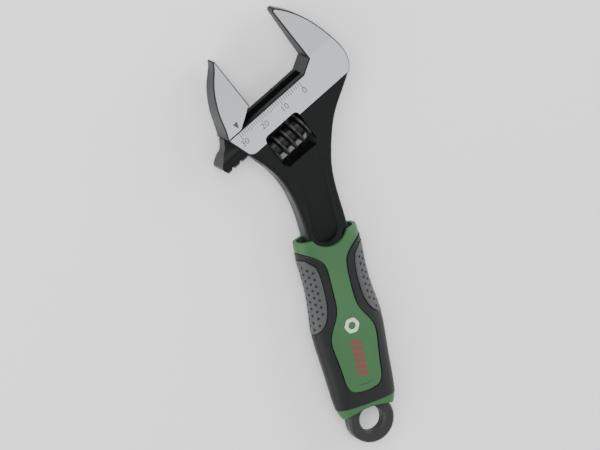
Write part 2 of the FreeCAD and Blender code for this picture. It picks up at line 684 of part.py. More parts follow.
def make_worm_spring():
    """A short open coil between the head and the foot of the worm's counterbore."""
    wire = size["spring_wire"] / 2
    gap = 0.05
    length = size["spring_pocket"] + size["side_play"] - 2 * (gap + wire)
    helix = Part.makeHelix(length / 3.5, length, SPRING_MIDDLE)
    section = Part.Wire(Part.makeCircle(wire, Vector(SPRING_MIDDLE, 0, 0), Vector(0, 1, 0)))
    coil = Part.Wire(helix).makePipeShell([section], True, True)
    spring = doc.addObject("Part::Feature", "worm_spring")
    spring.Shape = coil
    spring.Label = "worm_spring"
    start = WINDOW_LEFT + gap + wire
    along = Placement(Vector(start, WORM_Y, 0), Rotation(Vector(0, 1, 0), 90))
    spring.Placement = Placement(Vector(HEAD_X, 0, 0), Rotation(Vector(0, 0, 1), HEAD_TURN)).multiply(along)
    return spring


def superellipse(wide, deep, angle):
    """Across and depth of a point on a rounded section."""
    across = math.cos(angle)
    rise = math.sin(angle)
    power = 2 / ROUNDNESS
    across = math.copysign(abs(across) ** power, across)
    rise = math.copysign(abs(rise) ** power, rise)
    return wide * across, deep * rise


def handle_skin(name, side_inset, flat_inset, front_zone):
    """The front half of a smooth solid through the handle's sections, made smaller by the two insets."""
    wires = []
    spare = math.radians(14.0)
    step = (math.pi + 2 * spare) / SECTION_POINTS
    for share, half_width, half_depth in GRIP_SECTIONS:
        points = []
        for number in range(SECTION_POINTS + 1):
            y, z = superellipse(half_width - side_inset, half_depth - flat_inset, number * step - spare)
            points.append(Vector(share * GRIP, y, z))
        bow = Part.BSplineCurve()
        bow.interpolate(points)
        wires.append(Part.Wire([bow.toShape(), Part.LineSegment(points[-1], points[0]).toShape()]))
    loft = doc.addObject("Part::Feature", name + "_loft")
    loft.Shape = Part.makeLoft(wires, True, False)
    return joined("MultiCommon", name, loft, front_zone)


def both_halves(name, half):
    """The front half and its mirror image, as one solid."""
    back = doc.addObject("Part::Mirroring", name + "_back")
    back.Source = half
    back.Normal = (0, 0, 1)
    whole = doc.addObject("Part::MultiFuse", name)
    whole.Shapes = [half, back]
    whole.Refine = True
    whole.Label = name
    return whole


def prism(name, shapes):
    """An outline on the mid-plane, extruded both ways past the handle."""
    sketch = add_shapes(doc.addObject("Sketcher::SketchObject", name + "_outline"), shapes)
    block = doc.addObject("Part::Extrusion", name)
    block.Base = sketch
    block.DirMode = "Normal"
    block.LengthFwd = FAR
    block.Symmetric = True
    block.Solid = True
    return block


def beside(points, margin):
    """Points a set margin to the left of the smooth curve through the given ones."""
    if not margin:
        return points
    guide = curve(points)
    moved = []
    steps = 2 * len(points)
    for number in range(steps + 1):
        place = guide.FirstParameter + (guide.LastParameter - guide.FirstParameter) * number / steps
        along = guide.tangent(place)[0]
        spot = guide.value(place) + Vector(-along.y, along.x, 0) * margin
        moved.append((spot.x, spot.y, 0))
    return moved


def joined(kind, name, *parts):
    item = doc.addObject("Part::" + kind, name)
    item.Shapes = list(parts)
    return item


def taken(name, base, tool):
    item = doc.addObject("Part::Cut", name)
    item.Base = base
    item.Tool = tool
    return item


def panel_shapes(margin=0.0):
    """The green panel's outline: narrow in the waist, and flared into the collar."""
    end = 0.17 * GRIP
    side = [(0.199, 6.7), (0.266, 7.6), (0.398, 8.8), (0.465, 9.0), (0.51, 7.9), (0.558, 5.8), (0.60, 4.35),
            (0.664, 3.75), (0.75, 3.7), (0.823, 3.9), (0.863, 4.6), (0.89, 6.0), (0.93, 9.8), (0.952, 13.0)]
    guide = [(end, 3.9, 0), (end + 0.55, 5.45, 0)] + [(share * GRIP, y, 0) for share, y in side]
    upper = beside(guide, margin)
    lower = [(x, -y, 0) for x, y, z in upper]
    flare = 0.96 * GRIP - margin
    last = 1.03 * GRIP
    wide = 18.0
    return [
        arc(lower[0], (end - margin - 0.5, 0, 0), upper[0]),
        curve(upper),
        line(upper[-1], (flare, wide, 0)),
        line((flare, wide, 0), (last, wide, 0)),
        line((last, wide, 0), (last, -wide, 0)),
        line((last, -wide, 0), (flare, -wide, 0)),
        line((flare, -wide, 0), lower[-1]),
        curve(lower),
    ]


def pad_shapes(side, margin=0.0):
    """A grey side pad's outline, on one side of the handle or the other."""
    inner = [(0.522, 18.0), (0.526, 13.2), (0.562, 10.0), (0.62, 8.1), (0.70, 7.4), (0.79, 7.45),
             (0.862, 8.4)]
    inside = beside([(share * GRIP, y, 0) for share, y in inner], -margin)
    points = [(x, side * y, 0) for x, y, z in inside]
    shoulder = (0.908 * GRIP + margin, side * 11.8, 0)
    outside = (0.915 * GRIP + margin, side * 18.0, 0)
    return [curve(points), line(points[-1], shoulder), line(shoulder, outside), line(outside, points[0])]


def band_shapes():
    low = size["band_start"]
    middle = size["band_middle"]
    high = size["band_end"]
    wide = 18.0
    side = 10.4
    corner = middle - (middle - low) * (wide / side) ** 2
    return [
        line((high, -wide, 0), (high, wide, 0)),
        line((high, wide, 0), (corner, wide, 0)),
        arc((corner, wide, 0), (middle, 0, 0), (corner, -wide, 0)),
        line((corner, -wide, 0), (high, -wide, 0)),
    ]


def make_handle_liner():
    ring = doc.addObject("Part::Cylinder", "loop_ring")
    ring.setExpression("Radius", "Sizes.loop_radius * 1 mm")
    ring.setExpression("Height", "Sizes.loop_thickness * 1 mm")
    ring.setExpression("Placement.Base.z", "-Sizes.loop_thickness / 2")
    hole = doc.addObject("Part::Cylinder", "hanging_hole")
    hole.setExpression("Radius", "Sizes.hole_radius * 1 mm")
    hole.Height = FAR
    hole.Placement.Base.z = -FAR / 2
    doc.recompute()
    open_ring = taken("open_ring", ring, hole)
    doc.recompute()
    bevelled = doc.addObject("Part::Chamfer", "loop_bevels")
    bevelled.Base = open_ring
    rims = [number for number, edge in enumerate(open_ring.Shape.Edges, start=1) if edge.Closed
            and len(edge.Vertexes) == 1 and isinstance(edge.Curve, Part.Circle)]
    bevelled.Edges = [(number, size["loop_bevel"], size["loop_bevel"]) for number in rims]
    half = "Sizes.liner_width / 2"
    bar = box("liner_bar", ("Sizes.hole_radius + 1.1", "-(%s)" % half, "-Sizes.liner_thickness / 2"),
              ("Sizes.grip_length - Sizes.liner_stop", half, "Sizes.liner_thickness / 2"))
    blank = joined("MultiFuse", "liner_blank", bevelled, bar)
    tang = doc.addObject("Sketcher::SketchObject", "tang_cavity_outline")
    add_shapes(tang, polygon(tang_outline()))
    cavity = doc.addObject("Part::Extrusion", "tang_cavity")
    cavity.Base = tang
    cavity.DirMode = "Normal"
    cavity.setExpression("LengthFwd", "Sizes.tang_thickness * 1 mm")
    cavity.Symmetric = True
    cavity.Solid = True
    liner = taken("handle_liner", blank, cavity)
    liner.Label = "handle_liner"
    return liner, cavity


def make_handle():
    liner, cavity = make_handle_liner()
    sink = size["panel_sink"]
    wall = sink + size["collar_wall"]
    front = box("front_zone", ("-%g" % FAR, "-%g" % FAR, "0"), ("%g" % (3 * FAR), "%g" % FAR, "%g" % FAR))
    skin = handle_skin("outer_skin", 0.0, 0.0, front)
    green_skin = handle_skin("green_skin", sink, sink, front)
    inner = handle_skin("inner_skin", size["skin_side"], size["skin"], front)
    mouth_skin = handle_skin("mouth_skin", wall, wall, front)
    pad_outer = handle_skin("pad_outer_skin", -size["pad_rise"], -size["pad_rise"], front)
    pad_inner = handle_skin("pad_inner_skin", size["pad_depth"], size["pad_depth"], front)

    panel = joined("MultiCommon", "panel_and_collar", green_skin, prism("panel_zone", panel_shapes()))
    band = joined("MultiCommon", "end_band", green_skin, prism("band_zone", band_shapes()))
    half = "%g" % (FAR / 2)
    inside_box = box("inside_zone", ("Sizes.band_end - 0.5", "-" + half, "-" + half),
                     ("Sizes.grip_length - 2", half, half))
    inside = joined("MultiCommon", "inside", inner, inside_box)
    blank = joined("MultiFuse", "core_blank", panel, band, inside)

    mouth_box = box("mouth_zone", ("Sizes.grip_length - Sizes.mouth_depth", "-" + half, "-" + half),
                    ("Sizes.grip_length + 10", half, half))
    mouth = joined("MultiCommon", "collar_mouth", mouth_skin, mouth_box)
    half_chord = size["scoop_width"] / 2
    depth = size["collar_scoop"]
    radius = (half_chord ** 2 + depth ** 2) / (2 * depth)
    scoop = doc.addObject("Part::Cylinder", "collar_scoop")
    scoop.Radius = radius
    scoop.Height = FAR
    scoop.Placement.Base = Vector(GRIP - depth + radius, 0, -FAR / 2)
    wide = "(Sizes.shank_width / 2 + Sizes.shank_fit)"
    deep = "(Sizes.shank_thickness / 2 + Sizes.shank_fit)"
    shank_space = box("shank_space", ("Sizes.grip_length - Sizes.mouth_depth", "-" + wide, "-" + deep),
                      ("Sizes.grip_length + 10", wide, deep))
    past = box("past_collar", ("Sizes.grip_length", "-" + half, "-" + half),
               ("Sizes.grip_length + 10", half, half))
    liner_space = joined("MultiFuse", "liner_space", liner.Base, cavity)
    removed = joined("MultiFuse", "core_openings", mouth, shank_space, scoop, past, liner_space)
    core = both_halves("handle_core", taken("core_front", blank, removed))

    zone = box("overmould_zone", ("Sizes.band_end", "-" + half, "-" + half),
               ("Sizes.grip_length", half, half))
    blank = joined("MultiCommon", "overmould_blank", skin, zone)
    opening = prism("panel_opening", panel_shapes(size["groove"]))
    shell = taken("pad_shell", pad_outer, pad_inner)
    pads = []
    pockets = []
    for name, side in (("left", 1), ("right", -1)):
        zone = prism("pad_zone_" + name, pad_shapes(side))
        pad_front = joined("MultiCommon", "pad_front_" + name, shell, zone)
        pads.append(both_halves("grip_pad_" + name, pad_front))
        pocket_zone = prism("pad_pocket_" + name, pad_shapes(side, size["pad_groove"]))
        pockets.append(joined("MultiCommon", "pad_pocket_cut_" + name, shell, pocket_zone))
    overmould = taken("overmould_shell", blank, inner)
    overmould = taken("overmould_round_loop", overmould, liner.Base)
    overmould = taken("overmould_round_panels", overmould, opening)
    overmould = taken("overmould_left", overmould, pockets[0])
    overmould = both_halves("grip_overmould", taken("overmould_front", overmould, pockets[1]))
    return [liner, core, overmould] + pads


def check_document():
    doc.recompute()
    for item in doc.Objects:
        if "Invalid" in item.State or "Error" in item.State:
            raise RuntimeError("%s: %s" % (item.Label, item.State))


def check_shape(part):
    shape = part.Shape
    if shape.isNull() or not shape.isValid() or shape.Volume <= 0:
        raise RuntimeError("%s has no valid shape" % part.Label)


def main():
    parts = [make_wrench_body(), make_sliding_jaw(), make_worm(), make_worm_pin(), make_worm_spring()]
    parts += make_handle()
    check_document()
    for part in parts:
        check_shape(part)
    os.makedirs("parts", exist_ok=True)
    for part in parts:
        part.Shape.exportStep("parts/%s.step" % part.Label)
        print("%-16s %9.1f mm3  solids %d" % (part.Label, part.Shape.Volume, len(part.Shape.Solids)))


main()
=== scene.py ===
import json
import math

import bmesh
import bpy
from bpy.props import FloatProperty, FloatVectorProperty, IntProperty, PointerProperty
from mathutils import Matrix, Vector
from mathutils.bvhtree import BVHTree


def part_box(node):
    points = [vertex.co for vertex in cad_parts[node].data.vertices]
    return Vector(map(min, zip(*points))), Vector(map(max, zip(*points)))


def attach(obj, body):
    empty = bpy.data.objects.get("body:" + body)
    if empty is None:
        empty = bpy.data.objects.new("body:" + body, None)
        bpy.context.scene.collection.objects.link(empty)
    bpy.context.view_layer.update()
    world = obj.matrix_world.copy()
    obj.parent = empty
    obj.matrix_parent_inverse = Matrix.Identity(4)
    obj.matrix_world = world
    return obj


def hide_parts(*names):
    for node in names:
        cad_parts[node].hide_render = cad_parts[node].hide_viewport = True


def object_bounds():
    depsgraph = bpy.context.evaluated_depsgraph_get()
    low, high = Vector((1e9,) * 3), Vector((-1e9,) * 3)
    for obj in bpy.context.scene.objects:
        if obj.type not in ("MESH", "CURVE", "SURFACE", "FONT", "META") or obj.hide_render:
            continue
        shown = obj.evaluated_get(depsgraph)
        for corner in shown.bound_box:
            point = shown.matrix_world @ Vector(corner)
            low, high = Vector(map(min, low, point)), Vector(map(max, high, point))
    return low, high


bl_info = {
    "name": "Adjustable wrench looks",
    "version": (1, 0, 0),
    "blender": (4, 5, 0),
    "location": "View3D > Sidebar > Wrench",
    "description": "Finishes, scale, grip dimples, prints and stage for the packed adjustable wrench",
    "category": "Object",
}

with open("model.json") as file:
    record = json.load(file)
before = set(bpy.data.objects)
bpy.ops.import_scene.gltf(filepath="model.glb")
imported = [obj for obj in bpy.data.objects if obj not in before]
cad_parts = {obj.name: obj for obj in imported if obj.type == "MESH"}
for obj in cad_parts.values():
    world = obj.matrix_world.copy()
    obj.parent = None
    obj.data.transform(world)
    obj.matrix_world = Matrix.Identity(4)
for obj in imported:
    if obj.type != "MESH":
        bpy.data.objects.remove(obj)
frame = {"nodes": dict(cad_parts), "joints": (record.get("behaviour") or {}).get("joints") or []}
CAD_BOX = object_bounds()

MM = 0.001
UP = Vector((0, 0, 1))
JOINTS = {joint["name"]: joint for joint in frame["joints"]}

# The head's own frame: ALONG runs from the sliding jaw to the fixed jaw, ACROSS runs out between the jaws.
# Its origin lies beside the worm's middle, and its heights are taken from the mid-plane.
ALONG = -Vector(JOINTS["jaw_slide"]["axis"])
ACROSS = UP.cross(ALONG)
WORM_MIDDLE = Vector(JOINTS["worm_spin"]["pos_m"])
WORM_ALONG = -6.1 * MM
WORM_ACROSS = 0.4 * MM
HEAD = WORM_MIDDLE - WORM_ALONG * ALONG - WORM_ACROSS * ACROSS
HEAD_HEIGHT = HEAD.dot(ACROSS)
HALF_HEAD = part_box("wrench_body")[1].z

# Distances out between the jaws: the shoulder that the scale stands under, the lower edge of the ground
# flats, and the start of the jaws' taper, whose slope is how fast a face falls towards the mid-plane.
SHOULDER = 17.0 * MM
GROUND_EDGE = 5.38 * MM
TAPER_START = 21.0 * MM
TAPER_SLOPE = 2.75 / 23.0
# How far below a ground face a point may lie and still be bright, and the radius where the worm's crests are
# worn.
FACE_DEPTH = 0.05 * MM
WORM_CREST = 6.08 * MM

LOOP_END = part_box("handle_liner")[0].x
FLOOR_GAP = 0.05 * MM
FLOOR_REACH = 1.6

# A filled mark starts inside the steel, and a print starts inside the moulding, so no gap shows below them.
MARK_SINK = 0.003 * MM
PRINT_SINK = 0.02 * MM
PRINT_LIFT = 0.03 * MM
WELD = 0.002 * MM
ABOVE_PANEL = 50 * MM
# The built-in font's size over the height of its figures.
FONT_SIZE = 1.35


def head_point(along, across, height=0.0):
    """A point given in the head's frame, in metres."""
    return HEAD + along * ALONG + across * ACROSS + height * UP


def head_matrix(along, across, height):
    """Places a flat drawing on the head: its x along the slide and its y out between the jaws."""
    place = head_point(along, across, height)
    return Matrix((
        (ALONG.x, ACROSS.x, 0, place.x),
        (ALONG.y, ACROSS.y, 0, place.y),
        (0, 0, 1, place.z),
        (0, 0, 0, 1),
    ))


# Sizes and colours

class WrenchScaleSizes(bpy.types.PropertyGroup):
    count: IntProperty(name="Marks", description="Marks on the scale, the zero mark included",
                       default=31, min=2)
    pitch: FloatProperty(name="Pitch", description="From one mark to the next",
                         default=1.0 * MM, unit="LENGTH")
    zero: FloatProperty(name="Zero mark", description="Place of the zero mark along the head",
                        default=9.24 * MM, unit="LENGTH")
    top: FloatProperty(name="Top of the marks", description="Upper end of the marks, below the shoulder",
                       default=16.45 * MM, unit="LENGTH")
    width: FloatProperty(name="Mark width", description="Width of one mark",
                         default=0.28 * MM, unit="LENGTH")
    short: FloatProperty(name="Short mark", description="Length of a 1 mm mark",
                         default=1.9 * MM, unit="LENGTH")
    longer: FloatProperty(name="Longer by", description="How much longer each fifth and tenth mark is",
                          default=0.6 * MM, unit="LENGTH")
    lift: FloatProperty(name="Ink thickness", description="Thickness of the filled mark over the steel",
                        default=0.02 * MM, unit="LENGTH")
    digits: FloatProperty(name="Numeral height", description="Height of the scale's numerals",
                          default=2.6 * MM, unit="LENGTH")
    digit_place: FloatProperty(name="Numeral place", description="Middle of the numerals across the head",
                               default=12.0 * MM, unit="LENGTH")


class WrenchGripSizes(bpy.types.PropertyGroup):
    rows: IntProperty(name="Rows", description="Rows of dimples along a side pad", default=11, min=1)
    columns: IntProperty(name="Columns", description="Columns of dimples round a side pad",
                         default=9, min=1)
    pitch: FloatProperty(name="Row pitch", description="From one row to the next along the handle",
                         default=2.75 * MM, unit="LENGTH")
    turn: FloatProperty(name="Column angle", description="From one column to the next, round the grip",
                        default=math.radians(21.0), subtype="ANGLE")
    radius: FloatProperty(name="Dimple radius", description="Radius of a dimple",
                          default=0.52 * MM, unit="LENGTH")
    margin: FloatProperty(name="Rim margin", description="Plain border left round a pad",
                          default=1.0 * MM, unit="LENGTH")
    stripes: IntProperty(name="Stripes", description="Slanted stripes in the panel's red flash",
                         default=6, min=1)
    stripe_pitch: FloatProperty(name="Stripe pitch", description="From one red stripe to the next",
                                default=2.45 * MM, unit="LENGTH")
    stripe_width: FloatProperty(name="Stripe width", description="Width of a red stripe along the handle",
                                default=1.75 * MM, unit="LENGTH")
    stripe_length: FloatProperty(name="Stripe length", description="Length of a stripe across the handle",
                                 default=4.2 * MM, unit="LENGTH")
    nut_size: FloatProperty(name="Nut mark", description="Radius of the nut drawn on the panel",
                            default=3.0 * MM, unit="LENGTH")


class WrenchFinishes(bpy.types.PropertyGroup):
    ground: FloatVectorProperty(name="Ground steel", description="Bright flats of the head and the jaws",
                                subtype="COLOR", size=3, default=(0.55, 0.56, 0.60))
    black: FloatVectorProperty(name="Black forging", description="Phosphated forging",
                               subtype="COLOR", size=3, default=(0.0045, 0.0054, 0.0054))
    rubbed: FloatVectorProperty(name="Forging side sheen", description="Forging's sides, painted lighter as a sheen",
                                subtype="COLOR", size=3, default=(0.035, 0.037, 0.038))
    worm: FloatVectorProperty(name="Worm", description="Blackened worm", subtype="COLOR", size=3,
                              default=(0.004, 0.0044, 0.0044))
    green: FloatVectorProperty(name="Green moulding", description="Panels, collar and end band",
                               subtype="COLOR", size=3, default=(0.040, 0.112, 0.046))
    soft: FloatVectorProperty(name="Soft skin", description="Dark soft overmould", subtype="COLOR", size=3,
                              default=(0.0115, 0.012, 0.0127))
    pad: FloatVectorProperty(name="Side pad", description="Grey side pads", subtype="COLOR", size=3,
                             default=(0.062, 0.065, 0.067))
    loop: FloatVectorProperty(name="Hanging loop", description="Inner moulding and its loop",
                              subtype="COLOR", size=3, default=(0.018, 0.0185, 0.020))
    red: FloatVectorProperty(name="Red print", description="Stripes printed on the panel", subtype="COLOR",
                             size=3, default=(0.15, 0.028, 0.024))
    pale: FloatVectorProperty(name="Pale print", description="Nut printed on the panel", subtype="COLOR",
                              size=3, default=(0.52, 0.62, 0.50))


class WrenchStageSizes(bpy.types.PropertyGroup):
    azimuth: FloatProperty(name="Camera azimuth", description="Side that the camera looks from",
                           default=math.radians(46.2), subtype="ANGLE")
    elevation: FloatProperty(name="Camera elevation", description="Height that the camera looks from",
                             default=math.radians(63.6), subtype="ANGLE")
    roll: FloatProperty(name="Camera roll", description="Turn of the camera about its own axis",
                        default=math.radians(116.9), subtype="ANGLE")
    distance: FloatProperty(name="Camera distance", description="From the camera to the point it looks at",
                            default=7.49, unit="LENGTH")
    lens: FloatProperty(name="Lens", description="Focal length in millimetres", default=1200.0)
    aim: FloatVectorProperty(name="Aim", description="Point that the camera looks at",
                             subtype="TRANSLATION", size=3, default=(81.3 * MM, 8.6 * MM, 0.0))
    glow: FloatProperty(name="Room light", description="Strength of the light from the room's walls",
                        default=1.25)
    ceiling: FloatProperty(name="Ceiling light", description="Strength of the light from straight above",
                           default=0.2)


# Node helpers

def new_node(tree, kind, inputs=None, **fields):
    """A node with its fields and unlinked inputs set; an input given as a socket is linked."""
    made = tree.nodes.new(kind)
    for field, value in fields.items():
        setattr(made, field, value)
    for name, value in (inputs or {}).items():
        socket = made.inputs[name]
        if isinstance(value, bpy.types.NodeSocket):
            tree.links.new(value, socket)
        else:
            socket.default_value = value
    return made


def maths(tree, operation, first, second=None, third=None):
    inputs = {number: value for number, value in enumerate((first, second, third)) if value is not None}
    return new_node(tree, "ShaderNodeMath", inputs, operation=operation).outputs[0]


def vector_maths(tree, operation, first, second):
    made = new_node(tree, "ShaderNodeVectorMath", {0: first, 1: second}, operation=operation)
    return made.outputs["Value" if operation == "DOT_PRODUCT" else "Vector"]


def scaled(tree, vector, factor):
    return new_node(tree, "ShaderNodeVectorMath", {0: vector, "Scale": factor}, operation="SCALE").outputs[0]


def stored(tree, points, name, value):
    """The points with a vector stored on each, under a name."""
    inputs = {"Geometry": points, "Name": name, "Value": value}
    return new_node(tree, "GeometryNodeStoreNamedAttribute", inputs,
                    data_type="FLOAT_VECTOR", domain="POINT").outputs[0]


def attribute(tree, name):
    """A vector that was stored under a name."""
    return new_node(tree, "GeometryNodeInputNamedAttribute", {"Name": name},
                    data_type="FLOAT_VECTOR").outputs[0]


def object_place(tree):
    return new_node(tree, "ShaderNodeTexCoord").outputs["Object"]


def from_worm(tree, place):
    """The way from the worm's middle to a place, and how much of it runs along the slide."""
    moved = vector_maths(tree, "SUBTRACT", place, WORM_MIDDLE)
    return moved, vector_maths(tree, "DOT_PRODUCT", moved, ALONG)


def stretched(tree, place, turn=0.0, scale=(1.0, 1.0, 1.0)):
    """Object coordinates turned about the vertical and stretched, for a grain with a direction."""
    turned = new_node(tree, "ShaderNodeMapping", {"Vector": place, "Rotation": (0, 0, turn)}).outputs[0]
    return new_node(tree, "ShaderNodeMapping", {"Vector": turned, "Scale": scale}).outputs[0]


def noise(tree, place, scale, detail=3.0, roughness=0.5):
    inputs = {"Vector": place, "Scale": scale, "Detail": detail, "Roughness": roughness}
    return new_node(tree, "ShaderNodeTexNoise", inputs).outputs["Fac"]


def spread(tree, value, low, high):
    """A value from 0 to 1 mapped to a range."""
    made = new_node(tree, "ShaderNodeMapRange", {"Value": value, "To Min": low, "To Max": high})
    return made.outputs["Result"]


def tint(tree, factor, first, second):
    """A colour between two, each a colour or a socket."""
    made = new_node(tree, "ShaderNodeMix", data_type="RGBA")
    sockets = {"Factor_Float": factor, "A_Color": first, "B_Color": second}
    for socket in made.inputs:
        if socket.identifier in sockets:
            value = sockets[socket.identifier]
            if isinstance(value, bpy.types.NodeSocket):
                tree.links.new(value, socket)
            elif socket.identifier == "Factor_Float":
                socket.default_value = value
            else:
                socket.default_value = tuple(value) + (1.0,)
    return next(socket for socket in made.outputs if socket.identifier == "Result_Color")


def shade(colour, factor):
    return tuple(channel * factor for channel in colour)


def bump(tree, height, depth, strength=1.0, normal=None):
    inputs = {"Height": height, "Distance": depth, "Strength": strength}
    if normal is not None:
        inputs["Normal"] = normal
    return new_node(tree, "ShaderNodeBump", inputs).outputs["Normal"]


def new_material(name):
    """An empty material with its principled shader, which the caller fills in."""
    made = bpy.data.materials.new(name)
    made.use_nodes = True
    tree = made.node_tree
    tree.nodes.clear()
    shader = tree.nodes.new("ShaderNodeBsdfPrincipled")
    output = tree.nodes.new("ShaderNodeOutputMaterial")
    tree.links.new(shader.outputs[0], output.inputs["Surface"])
    return made, tree, shader


def feed(tree, shader, name, value):
    if isinstance(value, bpy.types.NodeSocket):
        tree.links.new(value, shader.inputs[name])
    else:
        shader.inputs[name].default_value = value


def dress(piece, material):
    piece.data.materials.clear()
    piece.data.materials.append(material)


# Finishes

def forged_steel(name, colours):
    """Black phosphated forging, with bright ground flats, a painted sheen that makes the sides lighter and
    more metallic, and painted shade on the faces between the jaws.
    """
    made, tree, shader = new_material(name)
    coords = new_node(tree, "ShaderNodeTexCoord").outputs
    place, normal = coords["Object"], coords["Normal"]
    split = new_node(tree, "ShaderNodeSeparateXYZ", {0: place}).outputs
    facing = new_node(tree, "ShaderNodeSeparateXYZ", {0: normal}).outputs["Z"]
    across = maths(tree, "SUBTRACT", vector_maths(tree, "DOT_PRODUCT", place, ACROSS), HEAD_HEIGHT)
    rise = maths(tree, "MAXIMUM", maths(tree, "SUBTRACT", across, TAPER_START), 0.0)
    half = maths(tree, "SUBTRACT", HALF_HEAD - FACE_DEPTH, maths(tree, "MULTIPLY", rise, TAPER_SLOPE))
    outermost = maths(tree, "GREATER_THAN", maths(tree, "ABSOLUTE", split["Z"]), half)
    flat = maths(tree, "GREATER_THAN", maths(tree, "ABSOLUTE", facing), 0.97)
    above = maths(tree, "GREATER_THAN", across, GROUND_EDGE)
    ground = maths(tree, "MULTIPLY", maths(tree, "MULTIPLY", outermost, flat), above)
    # The seat under the jaws and the fixed jaw's grip face, found by their facing, carry the painted shade
    # between the jaws.
    seat = maths(tree, "GREATER_THAN", vector_maths(tree, "DOT_PRODUCT", normal, ACROSS), 0.98)
    grip = maths(tree, "GREATER_THAN", vector_maths(tree, "DOT_PRODUCT", normal, -ALONG), 0.995)
    jaw_gap_shade = maths(tree, "MAXIMUM", seat, grip)

    slide_turn = -math.atan2(ALONG.y, ALONG.x)
    lines = noise(tree, stretched(tree, place, slide_turn, (60, 5200, 60)), 1.0, 4.0)
    cloud = noise(tree, place, 45.0, 2.0)
    bright = tint(tree, lines, shade(colours.ground, 0.93), shade(colours.ground, 1.05))
    bright = tint(tree, maths(tree, "MULTIPLY", cloud, 0.35), bright, shade(colours.ground, 0.82))
    grain = noise(tree, place, 5200.0, 2.0)
    patches = noise(tree, place, 160.0, 3.0)
    dark = tint(tree, grain, shade(colours.black, 0.75), shade(colours.black, 1.35))
    dark = tint(tree, maths(tree, "MULTIPLY", patches, 0.5), dark, shade(colours.black, 1.7))
    # Painted sheen: the sides get a lighter colour the more they turn from the top, for the light reflected
    # on the flanks.
    side = maths(tree, "SUBTRACT", 1.0, maths(tree, "ABSOLUTE", facing))
    side = maths(tree, "MULTIPLY", side, maths(tree, "SUBTRACT", 1.0, jaw_gap_shade))
    dark = tint(tree, side, dark, colours.rubbed)
    # Painted shade: the faces between the jaws are made much darker, for the shade that falls between them.
    dark = tint(tree, jaw_gap_shade, dark, shade(colours.black, 0.3))
    feed(tree, shader, "Base Color", tint(tree, ground, dark, bright))
    # The metallic on the sides is part of the same painted sheen.
    feed(tree, shader, "Metallic", maths(tree, "MAXIMUM", maths(tree, "MULTIPLY", ground, 0.9),
                                         maths(tree, "MULTIPLY", side, 0.6)))
    shader.inputs["Specular IOR Level"].default_value = 0.12
    dull = spread(tree, patches, 0.32, 0.46)
    ground_rough = spread(tree, lines, 0.38, 0.50)
    rough = new_node(tree, "ShaderNodeMix", {0: ground, 2: dull, 3: ground_rough}).outputs[0]
    feed(tree, shader, "Roughness", rough)
    relief = new_node(tree, "ShaderNodeMix", {0: ground, 2: grain, 3: lines}).outputs[0]
    feed(tree, shader, "Normal", bump(tree, relief, 0.012 * MM, 0.6))
    return made


def blackened_worm(colours):
    """Blackened steel, worn brighter on the thread's crests."""
    made, tree, shader = new_material("worm_finish")
    place = object_place(tree)
    moved, along = from_worm(tree, place)
    reach = vector_maths(tree, "DOT_PRODUCT", moved, moved)
    radius = maths(tree, "SQRT", maths(tree, "SUBTRACT", reach, maths(tree, "MULTIPLY", along, along)))
    scuffs = noise(tree, place, 1500.0, 4.0)
    worn = maths(tree, "ADD", radius, maths(tree, "MULTIPLY", scuffs, 0.06 * MM))
    crest = maths(tree, "GREATER_THAN", worn, WORM_CREST)
    profile = new_node(tree, "ShaderNodeCombineXYZ", {0: along, 1: radius}).outputs[0]
    rings = noise(tree, profile, 9000.0, 1.0)
    dark = tint(tree, scuffs, shade(colours.worm, 0.7), shade(colours.worm, 1.5))
    feed(tree, shader, "Base Color", tint(tree, crest, dark, (0.03, 0.031, 0.033)))
    feed(tree, shader, "Metallic", spread(tree, crest, 0.0, 0.6))
    shader.inputs["Specular IOR Level"].default_value = 0.3
    feed(tree, shader, "Roughness", spread(tree, scuffs, 0.26, 0.42))
    feed(tree, shader, "Normal", bump(tree, rings, 0.008 * MM, 0.5))
    return made


def turned_steel():
    """Plain turned steel of the pin and the spring."""
    made, tree, shader = new_material("turned_steel")
    place = object_place(tree)
    along = from_worm(tree, place)[1]
    rings = noise(tree, new_node(tree, "ShaderNodeCombineXYZ", {0: along}).outputs[0], 7000.0, 2.0)
    stain = noise(tree, place, 700.0, 3.0)
    colour = tint(tree, rings, (0.34, 0.34, 0.35), (0.46, 0.46, 0.47))
    colour = tint(tree, maths(tree, "MULTIPLY", stain, 0.5), colour, (0.25, 0.25, 0.26))
    feed(tree, shader, "Base Color", colour)
    shader.inputs["Metallic"].default_value = 1.0
    feed(tree, shader, "Roughness", spread(tree, stain, 0.26, 0.45))
    feed(tree, shader, "Normal", bump(tree, rings, 0.01 * MM, 0.6))
    return made


def moulded(name, colour, grain_size, depth, rough, gloss, sheen=0.0, seam=False):
    """Moulded plastic or rubber: a fine spark-eroded texture, faint flow marks and a parting line."""
    made, tree, shader = new_material(name)
    place = object_place(tree)
    grain = noise(tree, place, 1.0 / grain_size, 3.0, 0.6)
    flow = noise(tree, stretched(tree, place, 0.0, (40, 160, 160)), 1.0, 3.0)
    specks = noise(tree, place, 0.35 / grain_size, 2.0)
    body = tint(tree, flow, shade(colour, 0.9), shade(colour, 1.1))
    body = tint(tree, maths(tree, "MULTIPLY", specks, 0.4), body, shade(colour, 0.78))
    height = grain
    if seam:
        level = maths(tree, "ABSOLUTE", new_node(tree, "ShaderNodeSeparateXYZ", {0: place}).outputs["Z"])
        line = maths(tree, "LESS_THAN", level, 0.09 * MM)
        body = tint(tree, maths(tree, "MULTIPLY", line, 0.5), body, shade(colour, 0.45))
        height = maths(tree, "SUBTRACT", grain, maths(tree, "MULTIPLY", line, 1.5))
    feed(tree, shader, "Base Color", body)
    feed(tree, shader, "Roughness", spread(tree, specks, rough - 0.06, rough + 0.08))
    shader.inputs["Specular IOR Level"].default_value = gloss
    shader.inputs["Sheen Weight"].default_value = sheen
    shader.inputs["Sheen Roughness"].default_value = 0.4
    feed(tree, shader, "Normal", bump(tree, height, depth, 0.7))
    return made


